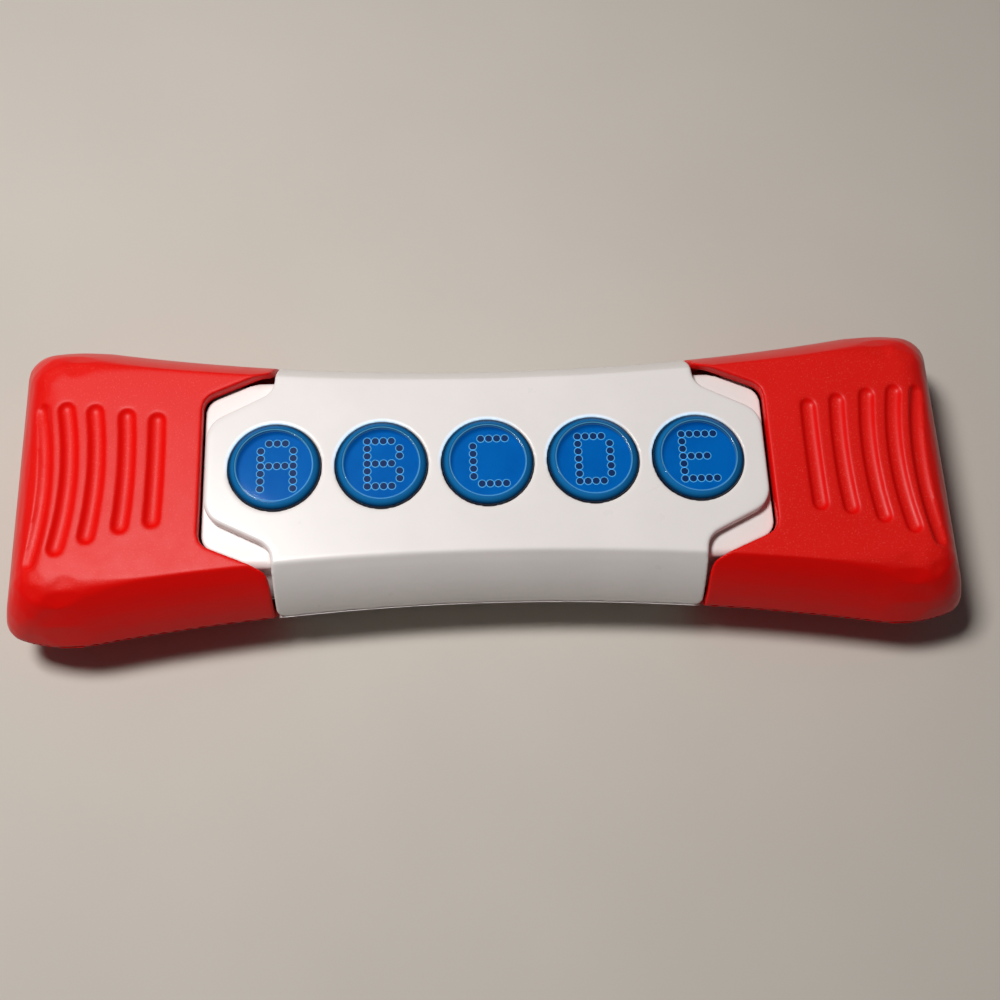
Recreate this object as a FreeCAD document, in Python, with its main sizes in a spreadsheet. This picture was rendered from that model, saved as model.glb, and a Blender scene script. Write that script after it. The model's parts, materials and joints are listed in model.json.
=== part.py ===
import FreeCAD, Part
import math
import os
import re
import Sketcher

# Electronic word game: a white centre with five letter buttons and a twisting red grip at each end.
# X runs along the length, Y from the near side to the far side, Z up. The origin is on the table
# under the middle. The grips twist about the X line at mid_height, where the shells part.

Vector = FreeCAD.Vector
doc = FreeCAD.newDocument("WordGame")
sheet = doc.addObject("Spreadsheet::Sheet", "Size")

SIZES = {
    # whole object, measured from the middle: half widths in Y, reaches in X, heights from the axis
    "mid_height": 16, "top_high": 16,
    "waist_half": 32.6, "widest_half": 41.3, "end_reach": 122.6,
    "waist_radius": 610, "shoulder_radius": 36, "corner_radius": 6,
    "top_waist_half": 23.5, "top_widest_half": 31, "top_end_reach": 115.1,
    "top_waist_radius": 735, "top_shoulder_radius": 60, "top_corner_radius": 8,
    "crease_radius": 0.6, "crease_middle_radius": 7, "crease_end_radius": 10, "crease_soft_start": 60,
    # how far the sides swell out half way up
    "side_swell": 1.2,
    # shell walls: roof thickness, thickness sideways and at the end, how much rounder the inner corner is
    # than the outer one, and the inner crease rounding
    "roof": 2.0, "side_wall": 2.5, "end_wall": 3.2, "corner_ease": 1,
    "inner_crease": 1.5, "inner_middle_crease": 4, "inner_end_crease": 6,
    # top cover: straight side seam, and the tongue at each end
    "cover_reach": 54.4, "cover_cavity_reach": 52.3, "cover_edge": 0.8,
    "cover_corner_radius": 2.5, "cover_corner_start": 33.4,
    "tongue_reach": 71.6, "tongue_half": 12.75, "tongue_root": 54.6, "tongue_root_half": 21.35,
    "tongue_corner_radius": 7, "tongue_root_radius": 5.5,
    # mouth of the grip's upper shell, which goes round the tongue
    "grip_start": 55.1, "mouth_reach": 72.7, "mouth_half": 19.9,
    "mouth_knee": 55.6, "mouth_knee_half": 27.3, "mouth_tip_half": 34,
    "mouth_corner_radius": 4.5, "mouth_knee_radius": 3, "mouth_wall": 3.6, "mouth_rim": 1.7,
    # neck: the section of the two frames, half of it above the axis, and the lower half's flat
    "neck_reach": 71.8, "neck_half": 29.9, "neck_edge_half": 23.6, "neck_edge_high": 10.2,
    "neck_flat_half": 15.5, "neck_flat_high": 12.8, "neck_wall": 1.8, "neck_gap": 0.12,
    "neck_edge_radius": 4, "neck_flat_radius": 12,
    "lower_flat_half": 18, "lower_flat_high": 12, "lower_flat_radius": 6,
    # ledge of the upper frame that fills each mouth around the tongue, and the room below the rim
    "ledge_start": 54.6, "ledge_half": 25.5, "ledge_low": 6.5, "ledge_radius": 2, "ledge_gap": 0.35,
    "ledge_lip_low": 10.1, "rim_room_low": 9.9,
    # letter buttons, their windows, displays, backlights and domes
    "button_pitch": 27, "window_radius": 11.9, "flange_pocket_radius": 13,
    "cap_radius": 11.7, "cap_top_radius": 9.95, "cap_high": 17.5, "cap_shoulder_high": 16.3,
    "cap_hollow_radius": 10.4, "cap_hollow_high": 16.3, "cap_low": 12.3,
    "flange_radius": 12.7, "flange_low": 12.9, "flange_high": 13.9,
    "display_radius": 10.1, "display_low": 13.4, "display_high": 14.9,
    "dome_foot_outer": 12.6, "dome_foot_inner": 11.2, "dome_foot_thick": 0.6,
    "dome_top_outer": 11.7, "dome_top_inner": 10.7, "dome_web": 0.7,
    # main board and its parts
    "board_reach": 66, "board_half": 17.4, "board_low": 8.6, "board_high": 10.2,
    "well_half": 13.2, "board_boss_radius": 2.0, "board_screw_y": 15.6, "board_screw_x": 40.5,
    "crystal_x": 14, "crystal_near": 4, "crystal_long": 6, "crystal_radius": 1.1,
    "capacitor_radius": 1.9, "capacitor_high": 4, "small_long": 1.6, "small_wide": 0.8, "small_thick": 0.6,
    # screws: shank, head, and the holes they sit in
    "shank_radius": 1.2, "head_radius": 2.5, "head_thick": 1.8, "pilot_gap": 0.04,
    "shank_clearance": 1.55, "head_clearance": 2.9, "slot_depth": 1.0, "slot_wide": 0.8, "slot_long": 3.2,
    # case screws, from the bottom cover into long bosses of the top cover
    "case_screw_x": 48.7, "case_screw_y": 19, "case_boss_radius": 2.5, "case_head_low": 1.4,
    "case_screw_top": 24, "case_boss_low": 17.5, "case_boss_hole": 2.9,
    "case_lower_boss_radius": 3.7, "case_lower_boss_low": 0.5, "case_lower_boss_top": 4.6,
    # frame screws, which join the two frames inside the neck
    "frame_screw_x": 60.5, "frame_screw_y": 22, "frame_boss_radius": 2.7, "frame_head_low": -9.6,
    "frame_screw_top": 6, "board_screw_top": 12,
    # battery bay in the bottom cover, with the door under it
    "cell_radius": 5.25, "cell_pitch": 11.2, "cell_body": 43.7, "cell_nub": 0.8, "cell_nub_radius": 2.3,
    "cell_low": 2.35, "bay_reach": 25.8, "bay_half": 18.7, "bay_wall": 1.4, "bay_top": 14,
    "plate_thick": 0.4, "spring_long": 5.2, "spring_wire": 0.6, "spring_radius": 2.9, "spring_turns": 3.5,
    "door_left": -34.6, "door_right": 26.1, "door_half": 18.1, "door_gap": 0.25,
    "door_low": 0.05, "door_bead_radius": 0.875, "door_pull_start": 14, "door_pull_pitch": 2.4,
    "door_pull_half": 9, "door_pull_wide": 1.2, "door_pull_deep": 0.4,
    "door_screw_x": -31, "door_screw_gap": 0.3, "door_screw_low": 0.25, "door_screw_top": 5.6,
    "door_pad_radius": 3.4, "door_pad_top": 3.2, "door_boss_radius": 2.4, "door_boss_top": 9,
    "door_tab_y": 10, "door_tab_half": 3, "door_tab_long": 1.9, "door_tab_start": 24.6,
    "door_tab_low": 0.15, "door_tab_top": 0.9, "tab_notch_gap": 0.6, "tab_notch_top": 6.5,
    # contact plates: their lower and upper edges, half widths, bumps and solder tabs
    "contact_low": 4.6, "contact_top": 12.4, "single_half": 4.2, "wide_half": 9.6, "solder_tab_half": 1.5,
    "bump_radius": 1.8, "bump_high": 0.6,
    # power switch, let into the bottom cover
    "switch_x": -46, "switch_travel": 4, "knob_long": 4.6, "knob_half": 2.6, "knob_low": 0.25,
    "recess_deep": 1.2, "recess_half_long": 6, "recess_half": 3.6, "recess_wall": 0.9,
    "slider_slot_half_long": 3.2, "slider_slot_half": 1.2, "stem_half": 1, "stem_top": 4.2,
    "knob_rib_pitch": 1.2, "knob_rib_wide": 0.5, "switch_half_long": 5, "switch_half": 2.6, "switch_top": 6.6,
    # speaker and its grille
    "speaker_x": 40.3, "speaker_radius": 11, "speaker_low": 2.6, "speaker_thick": 4.4,
    "speaker_dome_radius": 4, "speaker_dome_low": 0.9, "speaker_cone_radius": 9, "speaker_cone_low": 0.3,
    "speaker_rim": 1.2, "speaker_basket": 2.2, "speaker_magnet_radius": 6.2,
    "speaker_gap": 0.1, "speaker_ring": 0.85, "speaker_ring_high": 2.2,
    "grille_hole": 0.85, "grille_pitch": 3.1,
    # pivot hub, one at each end of the neck
    "hub_radius": 7, "hub_gap": 0.06, "hub_bore": 4.6, "hub_flange_radius": 9.8, "hub_flange_thick": 2,
    "collar_radius": 9.5, "collar_start": 79.3, "collar_end": 82,
    "rib_start": 75.6, "rib_thick": 3.5, "rib_gap": 0.2, "rib_half": 15,
    "sleeve_radius": 6, "hub_cap_start": 91, "hub_end": 92.6, "hub_cap_radius": 10.6,
    "peg_radius": 1.2, "hub_peg_high": 9.2, "grip_peg_high": 12,
    "return_wire": 0.7, "return_radius": 6.95, "return_pitch": 1.15, "return_turns": 3,
    # grip shells: screw posts and finger grooves
    "post_radius": 3.2, "well_post_radius": 4.3,
    "post_inner_x": 80, "post_inner_y": 21.5, "post_outer_x": 104, "post_outer_y": 20.5,
    "post_well": 6, "grip_screw_top": 25, "groove_radius": 2.6, "groove_depth": 1.2,
    "groove_start": 83.9, "groove_step": 7.15,
    # twist switches on a small board at each end of the neck
    "sensor_start": 71.8, "sensor_thick": 1.0, "sensor_half": 8, "sensor_low": -12, "sensor_high": -7.6,
    "twist_case_inner": 3.1, "twist_case_long": 3, "twist_case_thick": 2.2, "twist_case_half": 1.5,
    "lug_half": 1.2, "plunger_tip": 2.3, "plunger_radius": 0.6,
    "sensor_lead_high": -9, "sensor_lead_y": -6.5, "sensor_hole": 1.5,
    # leads
    "lead_radius": 0.55, "lead_bend": 2.5, "short_lead_bend": 1.8,
    # how far a tool that cuts or trims reaches past the whole object
    "past_reach": 200, "past_half": 100, "past_high": 40,
}

for row, (alias, value) in enumerate(SIZES.items(), start=1):
    sheet.set(f"A{row}", alias.replace("_", " "))
    sheet.set(f"B{row}", str(value))
    sheet.setAlias(f"B{row}", alias)
doc.recompute()

SIDES = {"left": -1, "right": 1}
WORD = re.compile(r"[a-z][a-z_]+")
nodes = []


def size(alias):
    """The number in the sheet's cell of that alias."""
    return float(sheet.get(alias))


def formula(text):
    """The text with each alias in it turned into a reference to its cell."""
    return WORD.sub(lambda word: "Size." + word.group() if word.group() in SIZES else word.group(), str(text))


def tie(item, path, text):
    """Bind a property to a formula of the sheet's aliases."""
    item.setExpression(path, formula(text))


def place(item, x="0", y="0", z="0"):
    """Bind an object's place, keeping its turn."""
    tie(item, "Placement.Base.x", x)
    tie(item, "Placement.Base.y", y)
    tie(item, "Placement.Base.z", z)
    return item


def high(text):
    """Formula of a height that is given from the twist axis."""
    return f"mid_height + ({text})"


def deliver(item, label):
    """Mark an object as one of the sub-parts, under its own label."""
    item.Label = label
    nodes.append(item)
    return item


# Primitives and booleans

def box(name, x, y, z):
    """Box between the two ends given along each axis."""
    item = doc.addObject("Part::Box", name)
    for side, (low, top) in (("Length", x), ("Width", y), ("Height", z)):
        tie(item, side, f"({top}) - ({low})")
    return place(item, x[0], y[0], z[0])


def rod(name, axis, radius, span, at):
    """Cylinder along an axis over a span; at holds its other two coordinates, in X, Y, Z order."""
    item = doc.addObject("Part::Cylinder", name)
    tie(item, "Radius", radius)
    tie(item, "Height", f"({span[1]}) - ({span[0]})")
    turns = {"x": (Vector(0, 1, 0), 90), "y": (Vector(1, 0, 0), -90), "z": (Vector(0, 0, 1), 0)}
    item.Placement.Rotation = FreeCAD.Rotation(*turns[axis])
    places = {"x": (span[0], *at), "y": (at[0], span[0], at[1]), "z": (*at, span[0])}
    return place(item, *places[axis])


def fuse(name, *items):
    """Union of several objects, or the object itself if there is one only."""
    if len(items) == 1:
        return items[0]
    item = doc.addObject("Part::MultiFuse", name)
    item.Shapes = list(items)
    return item


def cut(name, base, *tools):
    """Base without the tools."""
    item = doc.addObject("Part::Cut", name)
    item.Base = base
    item.Tool = fuse(name + "Tools", *tools)
    return item


def common(name, first, second):
    """What two objects share."""
    item = doc.addObject("Part::MultiCommon", name)
    item.Shapes = [first, second]
    return item


def mirror(name, source, normal, base=Vector(0, 0, 0)):
    """Mirror image in the plane through base with that normal."""
    item = doc.addObject("Part::Mirroring", name)
    item.Source = source
    item.Base = base
    item.Normal = normal
    return item


def together(name, items):
    """Separate solids held as one object."""
    item = doc.addObject("Part::Compound", name)
    item.Links = list(items)
    return item


def made(name, shape):
    """Object with a shape of its own."""
    item = doc.addObject("Part::Feature", name)
    item.Shape = shape
    return item


# Bodies from sketches

def origin_plane(body, role):
    """One of the body's own origin planes."""
    return next(plane for plane in body.Origin.OriginFeatures if plane.Role == role)


def polygon_sketch(body, name, role, corners):
    """Sketch of straight runs; each corner's two coordinates are formulas."""
    sketch = body.newObject("Sketcher::SketchObject", name)
    sketch.AttachmentSupport = (origin_plane(body, role), [""])
    sketch.MapMode = "FlatFace"
    count = len(corners)
    for index in range(count):
        start = Vector(index, index * index, 0)
        end = Vector((index + 1) % count, ((index + 1) % count) ** 2, 0)
        sketch.addGeometry(Part.LineSegment(start, end), False)
    sketch_corners(sketch, corners)
    return sketch


def sketch_corners(sketch, corners):
    """Join the runs end to end and bind every corner to its formulas."""
    count = len(corners)
    for index in range(count):
        after = (index + 1) % count
        sketch.addConstraint(Sketcher.Constraint("Coincident", index, 2, after, 1))
    for index, corner in enumerate(corners):
        for kind, text in zip(("DistanceX", "DistanceY"), corner):
            place_now = index if kind == "DistanceX" else index * index
            row = sketch.addConstraint(Sketcher.Constraint(kind, -1, 1, index, 1, float(place_now)))
            sketch.setExpression(f"Constraints[{row}]", formula(text))


def turned(name, axis, profile):
    """Body turned about the X or Z line through its own origin; profile holds (radius, along) pairs."""
    body = doc.addObject("PartDesign::Body", name)
    if axis == "z":
        sketch = polygon_sketch(body, name + "Profile", "XZ_Plane", profile)
    else:
        sketch = polygon_sketch(body, name + "Profile", "XY_Plane", [(along, far) for far, along in profile])
    turn = body.newObject("PartDesign::Revolution", name + "Turn")
    turn.Profile = sketch
    turn.ReferenceAxis = (sketch, ["V_Axis" if axis == "z" else "H_Axis"])
    turn.Angle = 360
    sketch.Visibility = False
    return body


def plate(name, corners, low, thick):
    """Body padded upwards from a plan of straight runs."""
    body = doc.addObject("PartDesign::Body", name)
    sketch = polygon_sketch(body, name + "Plan", "XY_Plane", corners)
    pad = body.newObject("PartDesign::Pad", name + "Pad")
    pad.Profile = sketch
    tie(pad, "Length", thick)
    place(body, z=low)
    return body


def rectangle(left, right, near, far):
    """Corners of a plan rectangle, anticlockwise."""
    return [(left, near), (right, near), (right, far), (left, far)]


# Outlines of lines and arcs

def rounded_wire(corners):
    """Closed wire of straight runs, with an arc of its own radius at each (point, radius) corner."""
    joints = []
    for index, (point, radius) in enumerate(corners):
        back = (corners[index - 1][0] - point).normalize()
        ahead = (corners[(index + 1) % len(corners)][0] - point).normalize()
        half = back.getAngle(ahead) / 2
        reach = radius / math.tan(half)
        middle = point + (back + ahead).normalize() * (radius / math.sin(half) - radius)
        joints.append((point + back * reach, middle, point + ahead * reach, radius))
    edges = []
    for index, (start, middle, end, radius) in enumerate(joints):
        if radius > 0:
            edges.append(Part.Arc(start, middle, end).toShape())
        following = joints[(index + 1) % len(joints)][0]
        edges.append(Part.LineSegment(end, following).toShape())
    return Part.Wire(edges)


def plan_prism(name, corners, low="0", top="2 * mid_height + 6"):
    """Upright prism on a plan of (x, y, corner radius) places."""
    wire = made(name + "Plan", rounded_wire([(Vector(x, y, 0), radius) for x, y, radius in corners]))
    item = doc.addObject("Part::Extrusion", name)
    item.Base = wire
    item.DirMode = "Custom"
    item.Dir = Vector(0, 0, 1)
    item.Solid = True
    tie(item, "LengthFwd", f"({top}) - ({low})")
    place(item, z=low)
    return item


def section_prism(name, corners, reach):
    """Prism along X, from -reach to reach, of a (y, height, radius) section."""
    wire = made(name + "Section", rounded_wire([(Vector(0, y, z), radius) for y, z, radius in corners]))
    item = doc.addObject("Part::Extrusion", name)
    item.Base = wire
    item.DirMode = "Custom"
    item.Dir = Vector(1, 0, 0)
    item.Solid = True
    tie(item, "LengthFwd", reach)
    tie(item, "LengthRev", reach)
    return item


def arc_point(centre, radius, toward):
    """Point on a circle, on the side of another point."""
    return centre + (toward - centre).normalize() * radius


def bow_wire(waist, widest, waist_radius, shoulder_radius, corner_radius, end, level):
    """Half of the bow-tie outline, X from 0 to the end: waist, shoulder and corner arcs, tangent."""
    rise = widest - waist
    shoulder_x = math.sqrt(2 * (waist_radius + shoulder_radius) * rise - rise * rise)
    waist_centre = Vector(0, waist + waist_radius, level)
    shoulder_centre = Vector(shoulder_x, widest - shoulder_radius, level)
    corner_x = end - corner_radius
    lift = math.sqrt((shoulder_radius - corner_radius) ** 2 - (corner_x - shoulder_x) ** 2)
    corner_centre = Vector(corner_x, shoulder_centre.y + lift, level)
    soft = size("crease_soft_start")
    points = {
        "middle": Vector(0, waist, level),
        "soft": Vector(soft, waist_centre.y - math.sqrt(waist_radius ** 2 - soft ** 2), level),
        "shoulder": arc_point(waist_centre, waist_radius, shoulder_centre),
        "corner": shoulder_centre + (corner_centre - shoulder_centre).normalize() * shoulder_radius,
        "end": Vector(end, corner_centre.y, level),
    }
    runs = [("middle", "soft", waist_centre, waist_radius), ("soft", "shoulder", waist_centre, waist_radius),
            ("shoulder", "corner", shoulder_centre, shoulder_radius),
            ("corner", "end", corner_centre, corner_radius)]
    far, near = [], []
    for start, finish, centre, radius in runs:
        arc = [points[start], arc_point(centre, radius, (points[start] + points[finish]) / 2), points[finish]]
        far.append(Part.Arc(*arc).toShape())
        flipped = [Vector(point.x, -point.y, point.z) for point in reversed(arc)]
        near.insert(0, Part.Arc(*flipped).toShape())
    end_far, middle_far = points["end"], points["middle"]
    end_line = Part.LineSegment(end_far, Vector(end_far.x, -end_far.y, level)).toShape()
    middle_line = Part.LineSegment(Vector(0, -waist, level), middle_far).toShape()
    return Part.Wire(far + [end_line] + near + [middle_line])


def band_wire(waist, waist_radius, reach, level):
    """Outline of the middle stretch only: a waist arc on each side, closed straight at the reaches."""
    edge = waist + waist_radius - math.sqrt(waist_radius ** 2 - reach ** 2)
    far = [Vector(-reach, edge, level), Vector(0, waist, level), Vector(reach, edge, level)]
    near = [Vector(point.x, -point.y, level) for point in reversed(far)]
    edges = [Part.Arc(*far).toShape(), Part.LineSegment(far[2], near[0]).toShape(),
             Part.Arc(*near).toShape(), Part.LineSegment(near[2], far[0]).toShape()]
    return Part.Wire(edges)


def loft(name, wires):
    """Solid with smooth sides through outlines at growing heights."""
    item = doc.addObject("Part::Loft", name)
    item.Sections = [made(f"{name}Outline{index}", wire) for index, wire in enumerate(wires)]
    item.Solid = True
    return item


def level_edges(item, level):
    """Numbered edges of an object that lie at one height and away from the X = 0 plane."""
    doc.recompute()
    found = []
    for number, edge in enumerate(item.Shape.Edges, start=1):
        flat = all(abs(corner.Z - level) < 0.001 for corner in edge.Vertexes)
        if flat and max(abs(corner.X) for corner in edge.Vertexes) > 0.001:
            found.append((number, edge))
    return found


def rounded(name, base, edges):
    """Fillet of (edge number, first radius, last radius) rows."""
    item = doc.addObject("Part::Fillet", name)
    item.Base = base
    item.Edges = edges
    return item


# Forms that several pieces share

OUTLINE = ("waist_half", "widest_half", "waist_radius", "shoulder_radius", "corner_radius", "end_reach")
OUTWARD = ("waist_half", "widest_half", "end_reach")


def growing_radius(x, radii):
    """Rounding of the grip's crease at X, from its three radii: beside the centre, midway and at the end."""
    crisp, middle, soft = (size(alias) for alias in radii)
    if x <= size("crease_soft_start") + 1:
        return crisp
    if x <= size("top_end_reach") - size("top_corner_radius") - 2:
        return middle
    return soft


def grow_crease(name, blank, level, radii):
    """Blank with its top edge rounded by the growing radius."""
    edges = []
    for number, edge in level_edges(blank, level):
        ends = [edge.valueAt(edge.FirstParameter).x, edge.valueAt(edge.LastParameter).x]
        edges.append((number, *(growing_radius(x, radii) for x in ends)))
    return rounded(name, blank, edges)


def outline(share):
    """Sizes of the outline at a share of the way from the axis to the top, with the swell of the sides."""
    swell = 4 * size("side_swell") * share * (1 - share)
    sizes = []
    for alias in OUTLINE:
        moved = swell if alias in OUTWARD else 0
        sizes.append((1 - share) * size(alias) + share * size("top_" + alias) + moved)
    return sizes


def height_at(share):
    """Height at a share of the way from the axis to the top."""
    return size("mid_height") + share * size("top_high")


def grip_form():
    """Outer solid of the upper half, X from 0 to the end."""
    wires = [bow_wire(*outline(share), height_at(share)) for share in (0, 0.5, 1)]
    radii = ("crease_radius", "crease_middle_radius", "crease_end_radius")
    return grow_crease("GripFormRound", loft("GripForm", wires), height_at(1), radii)


def grip_hollow():
    """Inner solid that leaves the grip's roof and walls."""
    top = 1 - size("roof") / size("top_high")
    side, end = size("side_wall"), size("end_wall")
    walls = (side, side, 0, 0, -size("corner_ease"), end)
    wires = [bow_wire(*(value - wall for value, wall in zip(outline(share), walls)), height_at(share))
             for share in (0, top / 2, top)]
    radii = ("inner_crease", "inner_middle_crease", "inner_end_crease")
    return grow_crease("GripHollowRound", loft("GripHollow", wires), height_at(top), radii)


def middle_stretch(name, top, reach, wall):
    """Solid of the upper half's middle stretch up to a share of its height, thinner by the wall."""
    wires = []
    for share in (0, top / 2, top):
        waist, _, radius = outline(share)[:3]
        wires.append(band_wire(waist - wall, radius, reach, height_at(share)))
    return loft(name, wires)


def cover_form():
    """Outer solid of the upper half's middle stretch, long enough for the tongues."""
    return middle_stretch("CoverForm", 1, size("tongue_reach") + 4, 0)


def cover_hollow():
    """Inner solid that leaves the covers' roof, walls and end bulkheads."""
    top = 1 - size("roof") / size("top_high")
    return middle_stretch("CoverHollow", top, size("cover_cavity_reach"), size("side_wall"))


def neck_corners(half, offset=0):
    """Section of the neck's upper or lower half, grown outwards by the offset."""
    flat, sign = ("neck", 1) if half == "upper" else ("lower", -1)
    side = size("neck_half") + 1.15 * offset
    edge, edge_high = size("neck_edge_half") + 0.9 * offset, size("neck_edge_high") + 0.75 * offset
    flat_y, flat_high = size(flat + "_flat_half") + 0.1 * offset, size(flat + "_flat_high") + offset
    right = [(side, 0, 0), (edge, edge_high, size("neck_edge_radius")),
             (flat_y, flat_high, size(flat + "_flat_radius"))]
    left = [(-y, z, radius) for y, z, radius in reversed(right)]
    return [(y, size("mid_height") + sign * z, radius) for y, z, radius in right + left]


def tongue_plan():
    """Plan of the top cover: straight seams at the sides and a tongue at each end."""
    seam, out = size("cover_reach"), size("widest_half") + 4
    root, root_half, root_radius = size("tongue_root"), size("tongue_root_half"), size("tongue_root_radius")
    quarter = [(seam, out, 0), (root, root_half, root_radius),
               (size("tongue_reach"), size("tongue_half"), size("tongue_corner_radius"))]
    right = quarter + [(x, -y, radius) for x, y, radius in reversed(quarter)]
    return right + [(-x, -y, radius) for x, y, radius in right]


def mouth_plan(start, inset):
    """Plan of the right grip's upper shell from the start outwards, its mouth grown by the inset."""
    out, end = size("widest_half") + 4, size("end_reach") + 4
    quarter = [(start, out, 0), (start, size("mouth_tip_half") + 2 * inset, 0),
               (size("mouth_knee") + 0.6 * inset, size("mouth_knee_half") + inset, size("mouth_knee_radius")),
               (size("mouth_reach") + inset, size("mouth_half") + inset, size("mouth_corner_radius"))]
    return quarter + [(x, -y, radius) for x, y, radius in reversed(quarter)] + [(end, -out, 0), (end, out, 0)]


UPPER_GRIP_FORM = grip_form()
UPPER_GRIP_HOLLOW = grip_hollow()
UPPER_COVER_FORM = cover_form()
UPPER_COVER_HOLLOW = cover_hollow()
HALVES = ("upper", "lower")
NECK = {half: section_prism(half + "Neck", neck_corners(half), "neck_reach") for half in HALVES}
NECK_SPACE = {half: section_prism(half + "NeckSpace", neck_corners(half, size("neck_gap")), "neck_reach + 6")
              for half in HALVES}
AXIS_PLANE = Vector(0, 0, size("mid_height"))
UPRIGHT = Vector(0, 0, 1)
doc.recompute()


def upside_down(name, source):
    """Mirror image of an upper form, below the twist axis."""
    return mirror(name, source, UPRIGHT, AXIS_PLANE)


def mirrored(name, source):
    """Mirror image of a form on the right, on the left."""
    return mirror(name, source, Vector(1, 0, 0))


# Screws

def screw_shape(head_low, length):
    """Pan-head screw pointing up, its head's underside at head_low plus the head's thickness."""
    neck = head_low + size("head_thick")
    head = Part.makeCylinder(size("head_radius"), size("head_thick"), Vector(0, 0, head_low))
    head = head.makeChamfer(0.5, [edge for edge in head.Edges if abs(edge.BoundBox.ZMax - head_low) < 0.001])
    shank = Part.makeCylinder(size("shank_radius"), length - 1.5, Vector(0, 0, neck))
    point = Part.makeCone(size("shank_radius"), 0.4, 1.5, Vector(0, 0, neck + length - 1.5))
    wide, long, deep = size("slot_wide"), size("slot_long"), size("slot_depth")
    slots = Part.makeBox(long, wide, deep, Vector(-long / 2, -wide / 2, head_low))
    slots = slots.fuse(Part.makeBox(wide, long, deep, Vector(-wide / 2, -long / 2, head_low)))
    return head.fuse(shank).fuse(point).removeSplitter().cut(slots)


def screws(label, places, head_low, top):
    """Group of alike screws from below, at (x, y) places, each from head_low up to top."""
    length = top - head_low - size("head_thick")
    shape = screw_shape(head_low, length)
    copies = [shape.translated(Vector(x, y, 0)) for x, y in places]
    return deliver(made(label.title().replace("_", ""), Part.makeCompound(copies)), label)


def four(x_alias, y_alias):
    """The four places at plus and minus two sizes."""
    x, y = size(x_alias), size(y_alias)
    return [(sx * x, sy * y) for sx in (-1, 1) for sy in (-1, 1)]


def posts(name, radius, places, low, top):
    """Upright rods at numeric (x, y) places."""
    return [rod(f"{name}{index}", "z", radius, (low, top), (str(x), str(y)))
            for index, (x, y) in enumerate(places)]


# Covers of the centre

def top_cover():
    """White shell with five windows, a tongue at each end and four long bosses."""
    plan = plan_prism("TonguePlan", tongue_plan())
    blank = common("TopCoverBlank", UPPER_COVER_FORM, plan)
    edge = size("cover_edge")
    edges = [(number, edge, edge) for number, _ in level_edges(blank, height_at(1))]
    blank = rounded("TopCoverRound", blank, edges)
    ledge_room = ledge_block("LedgeRoom", "ledge_start - neck_gap", "mouth_reach + 6", size("neck_gap"))
    tools = [UPPER_COVER_HOLLOW, NECK_SPACE["upper"], ledge_room, mirrored("LedgeRoomLeft", ledge_room),
             *cover_corners("Upper", 1)]
    for number in range(5):
        x = f"{number - 2} * button_pitch"
        tools.append(rod(f"Window{number + 1}", "z", "window_radius", (high("0"), high("20")), (x, "0")))
        tools.append(rod(f"FlangePocket{number + 1}", "z", "flange_pocket_radius",
                         (high("0"), high("top_high - roof")), (x, "0")))
    shell = cut("TopCoverShell", blank, *tools)
    places = four("case_screw_x", "case_screw_y")
    bosses = posts("TopBoss", "case_boss_radius", places, "case_boss_low", high("top_high - 1"))
    pilots = posts("TopPilot", "shank_radius + pilot_gap", places, "case_boss_low - 1", "case_screw_top + 1")
    return deliver(cut("TopCover", fuse("TopCoverBossed", shell, *bosses), *pilots), "top_cover")


def cover_corners(name, sign):
    """Tools that round the four seam corners at the parting line, above or below it."""
    tools = []
    for side, x_sign in SIDES.items():
        for edge, y_sign in (("Near", -1), ("Far", 1)):
            corner = f"{x_sign} * cover_reach"
            inner = f"{x_sign} * (cover_reach - cover_corner_radius)"
            across = ("cover_corner_start", "cover_corner_start + 9") if y_sign > 0 else (
                "-cover_corner_start - 9", "-cover_corner_start")
            along = (inner, f"{corner} + 1") if x_sign > 0 else (f"{corner} - 1", inner)
            level = f"mid_height + {sign} * cover_corner_radius"
            up = ("mid_height", level) if sign > 0 else (level, "mid_height")
            label = f"{name}Corner{side}{edge}"
            tools.append(cut(label, box(label + "Block", along, across, up),
                             rod(label + "Round", "y", "cover_corner_radius", across, (inner, level))))
    return tools


def bay_walls():
    """Walls of the battery bay, standing on the bottom cover's floor, and the door screw's boss."""
    low, floor = "roof - 0.1", "roof + 0.15"
    outer, long = "bay_half + bay_wall", ("door_left - 1.5", "bay_reach + bay_wall + 1")
    boss = ("door_pad_top + 0.15", "door_boss_top")
    return [box("BayNear", long, (f"-({outer})", "-bay_half"), (low, "bay_top")),
            box("BayFar", long, ("bay_half", outer), (low, "bay_top")),
            box("BayLeft", ("-(bay_reach + bay_wall)", "-bay_reach"), (f"-({outer})", outer),
                (floor, "bay_top")),
            box("BayRight", ("bay_reach", long[1]), (f"-({outer})", outer), (low, "bay_top")),
            rod("DoorBoss", "z", "door_boss_radius", boss, ("door_screw_x", "0")),
            box("DoorBossWeb", ("door_screw_x", "-bay_reach - bay_wall / 2"), ("-1", "1"), boss)]


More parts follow.
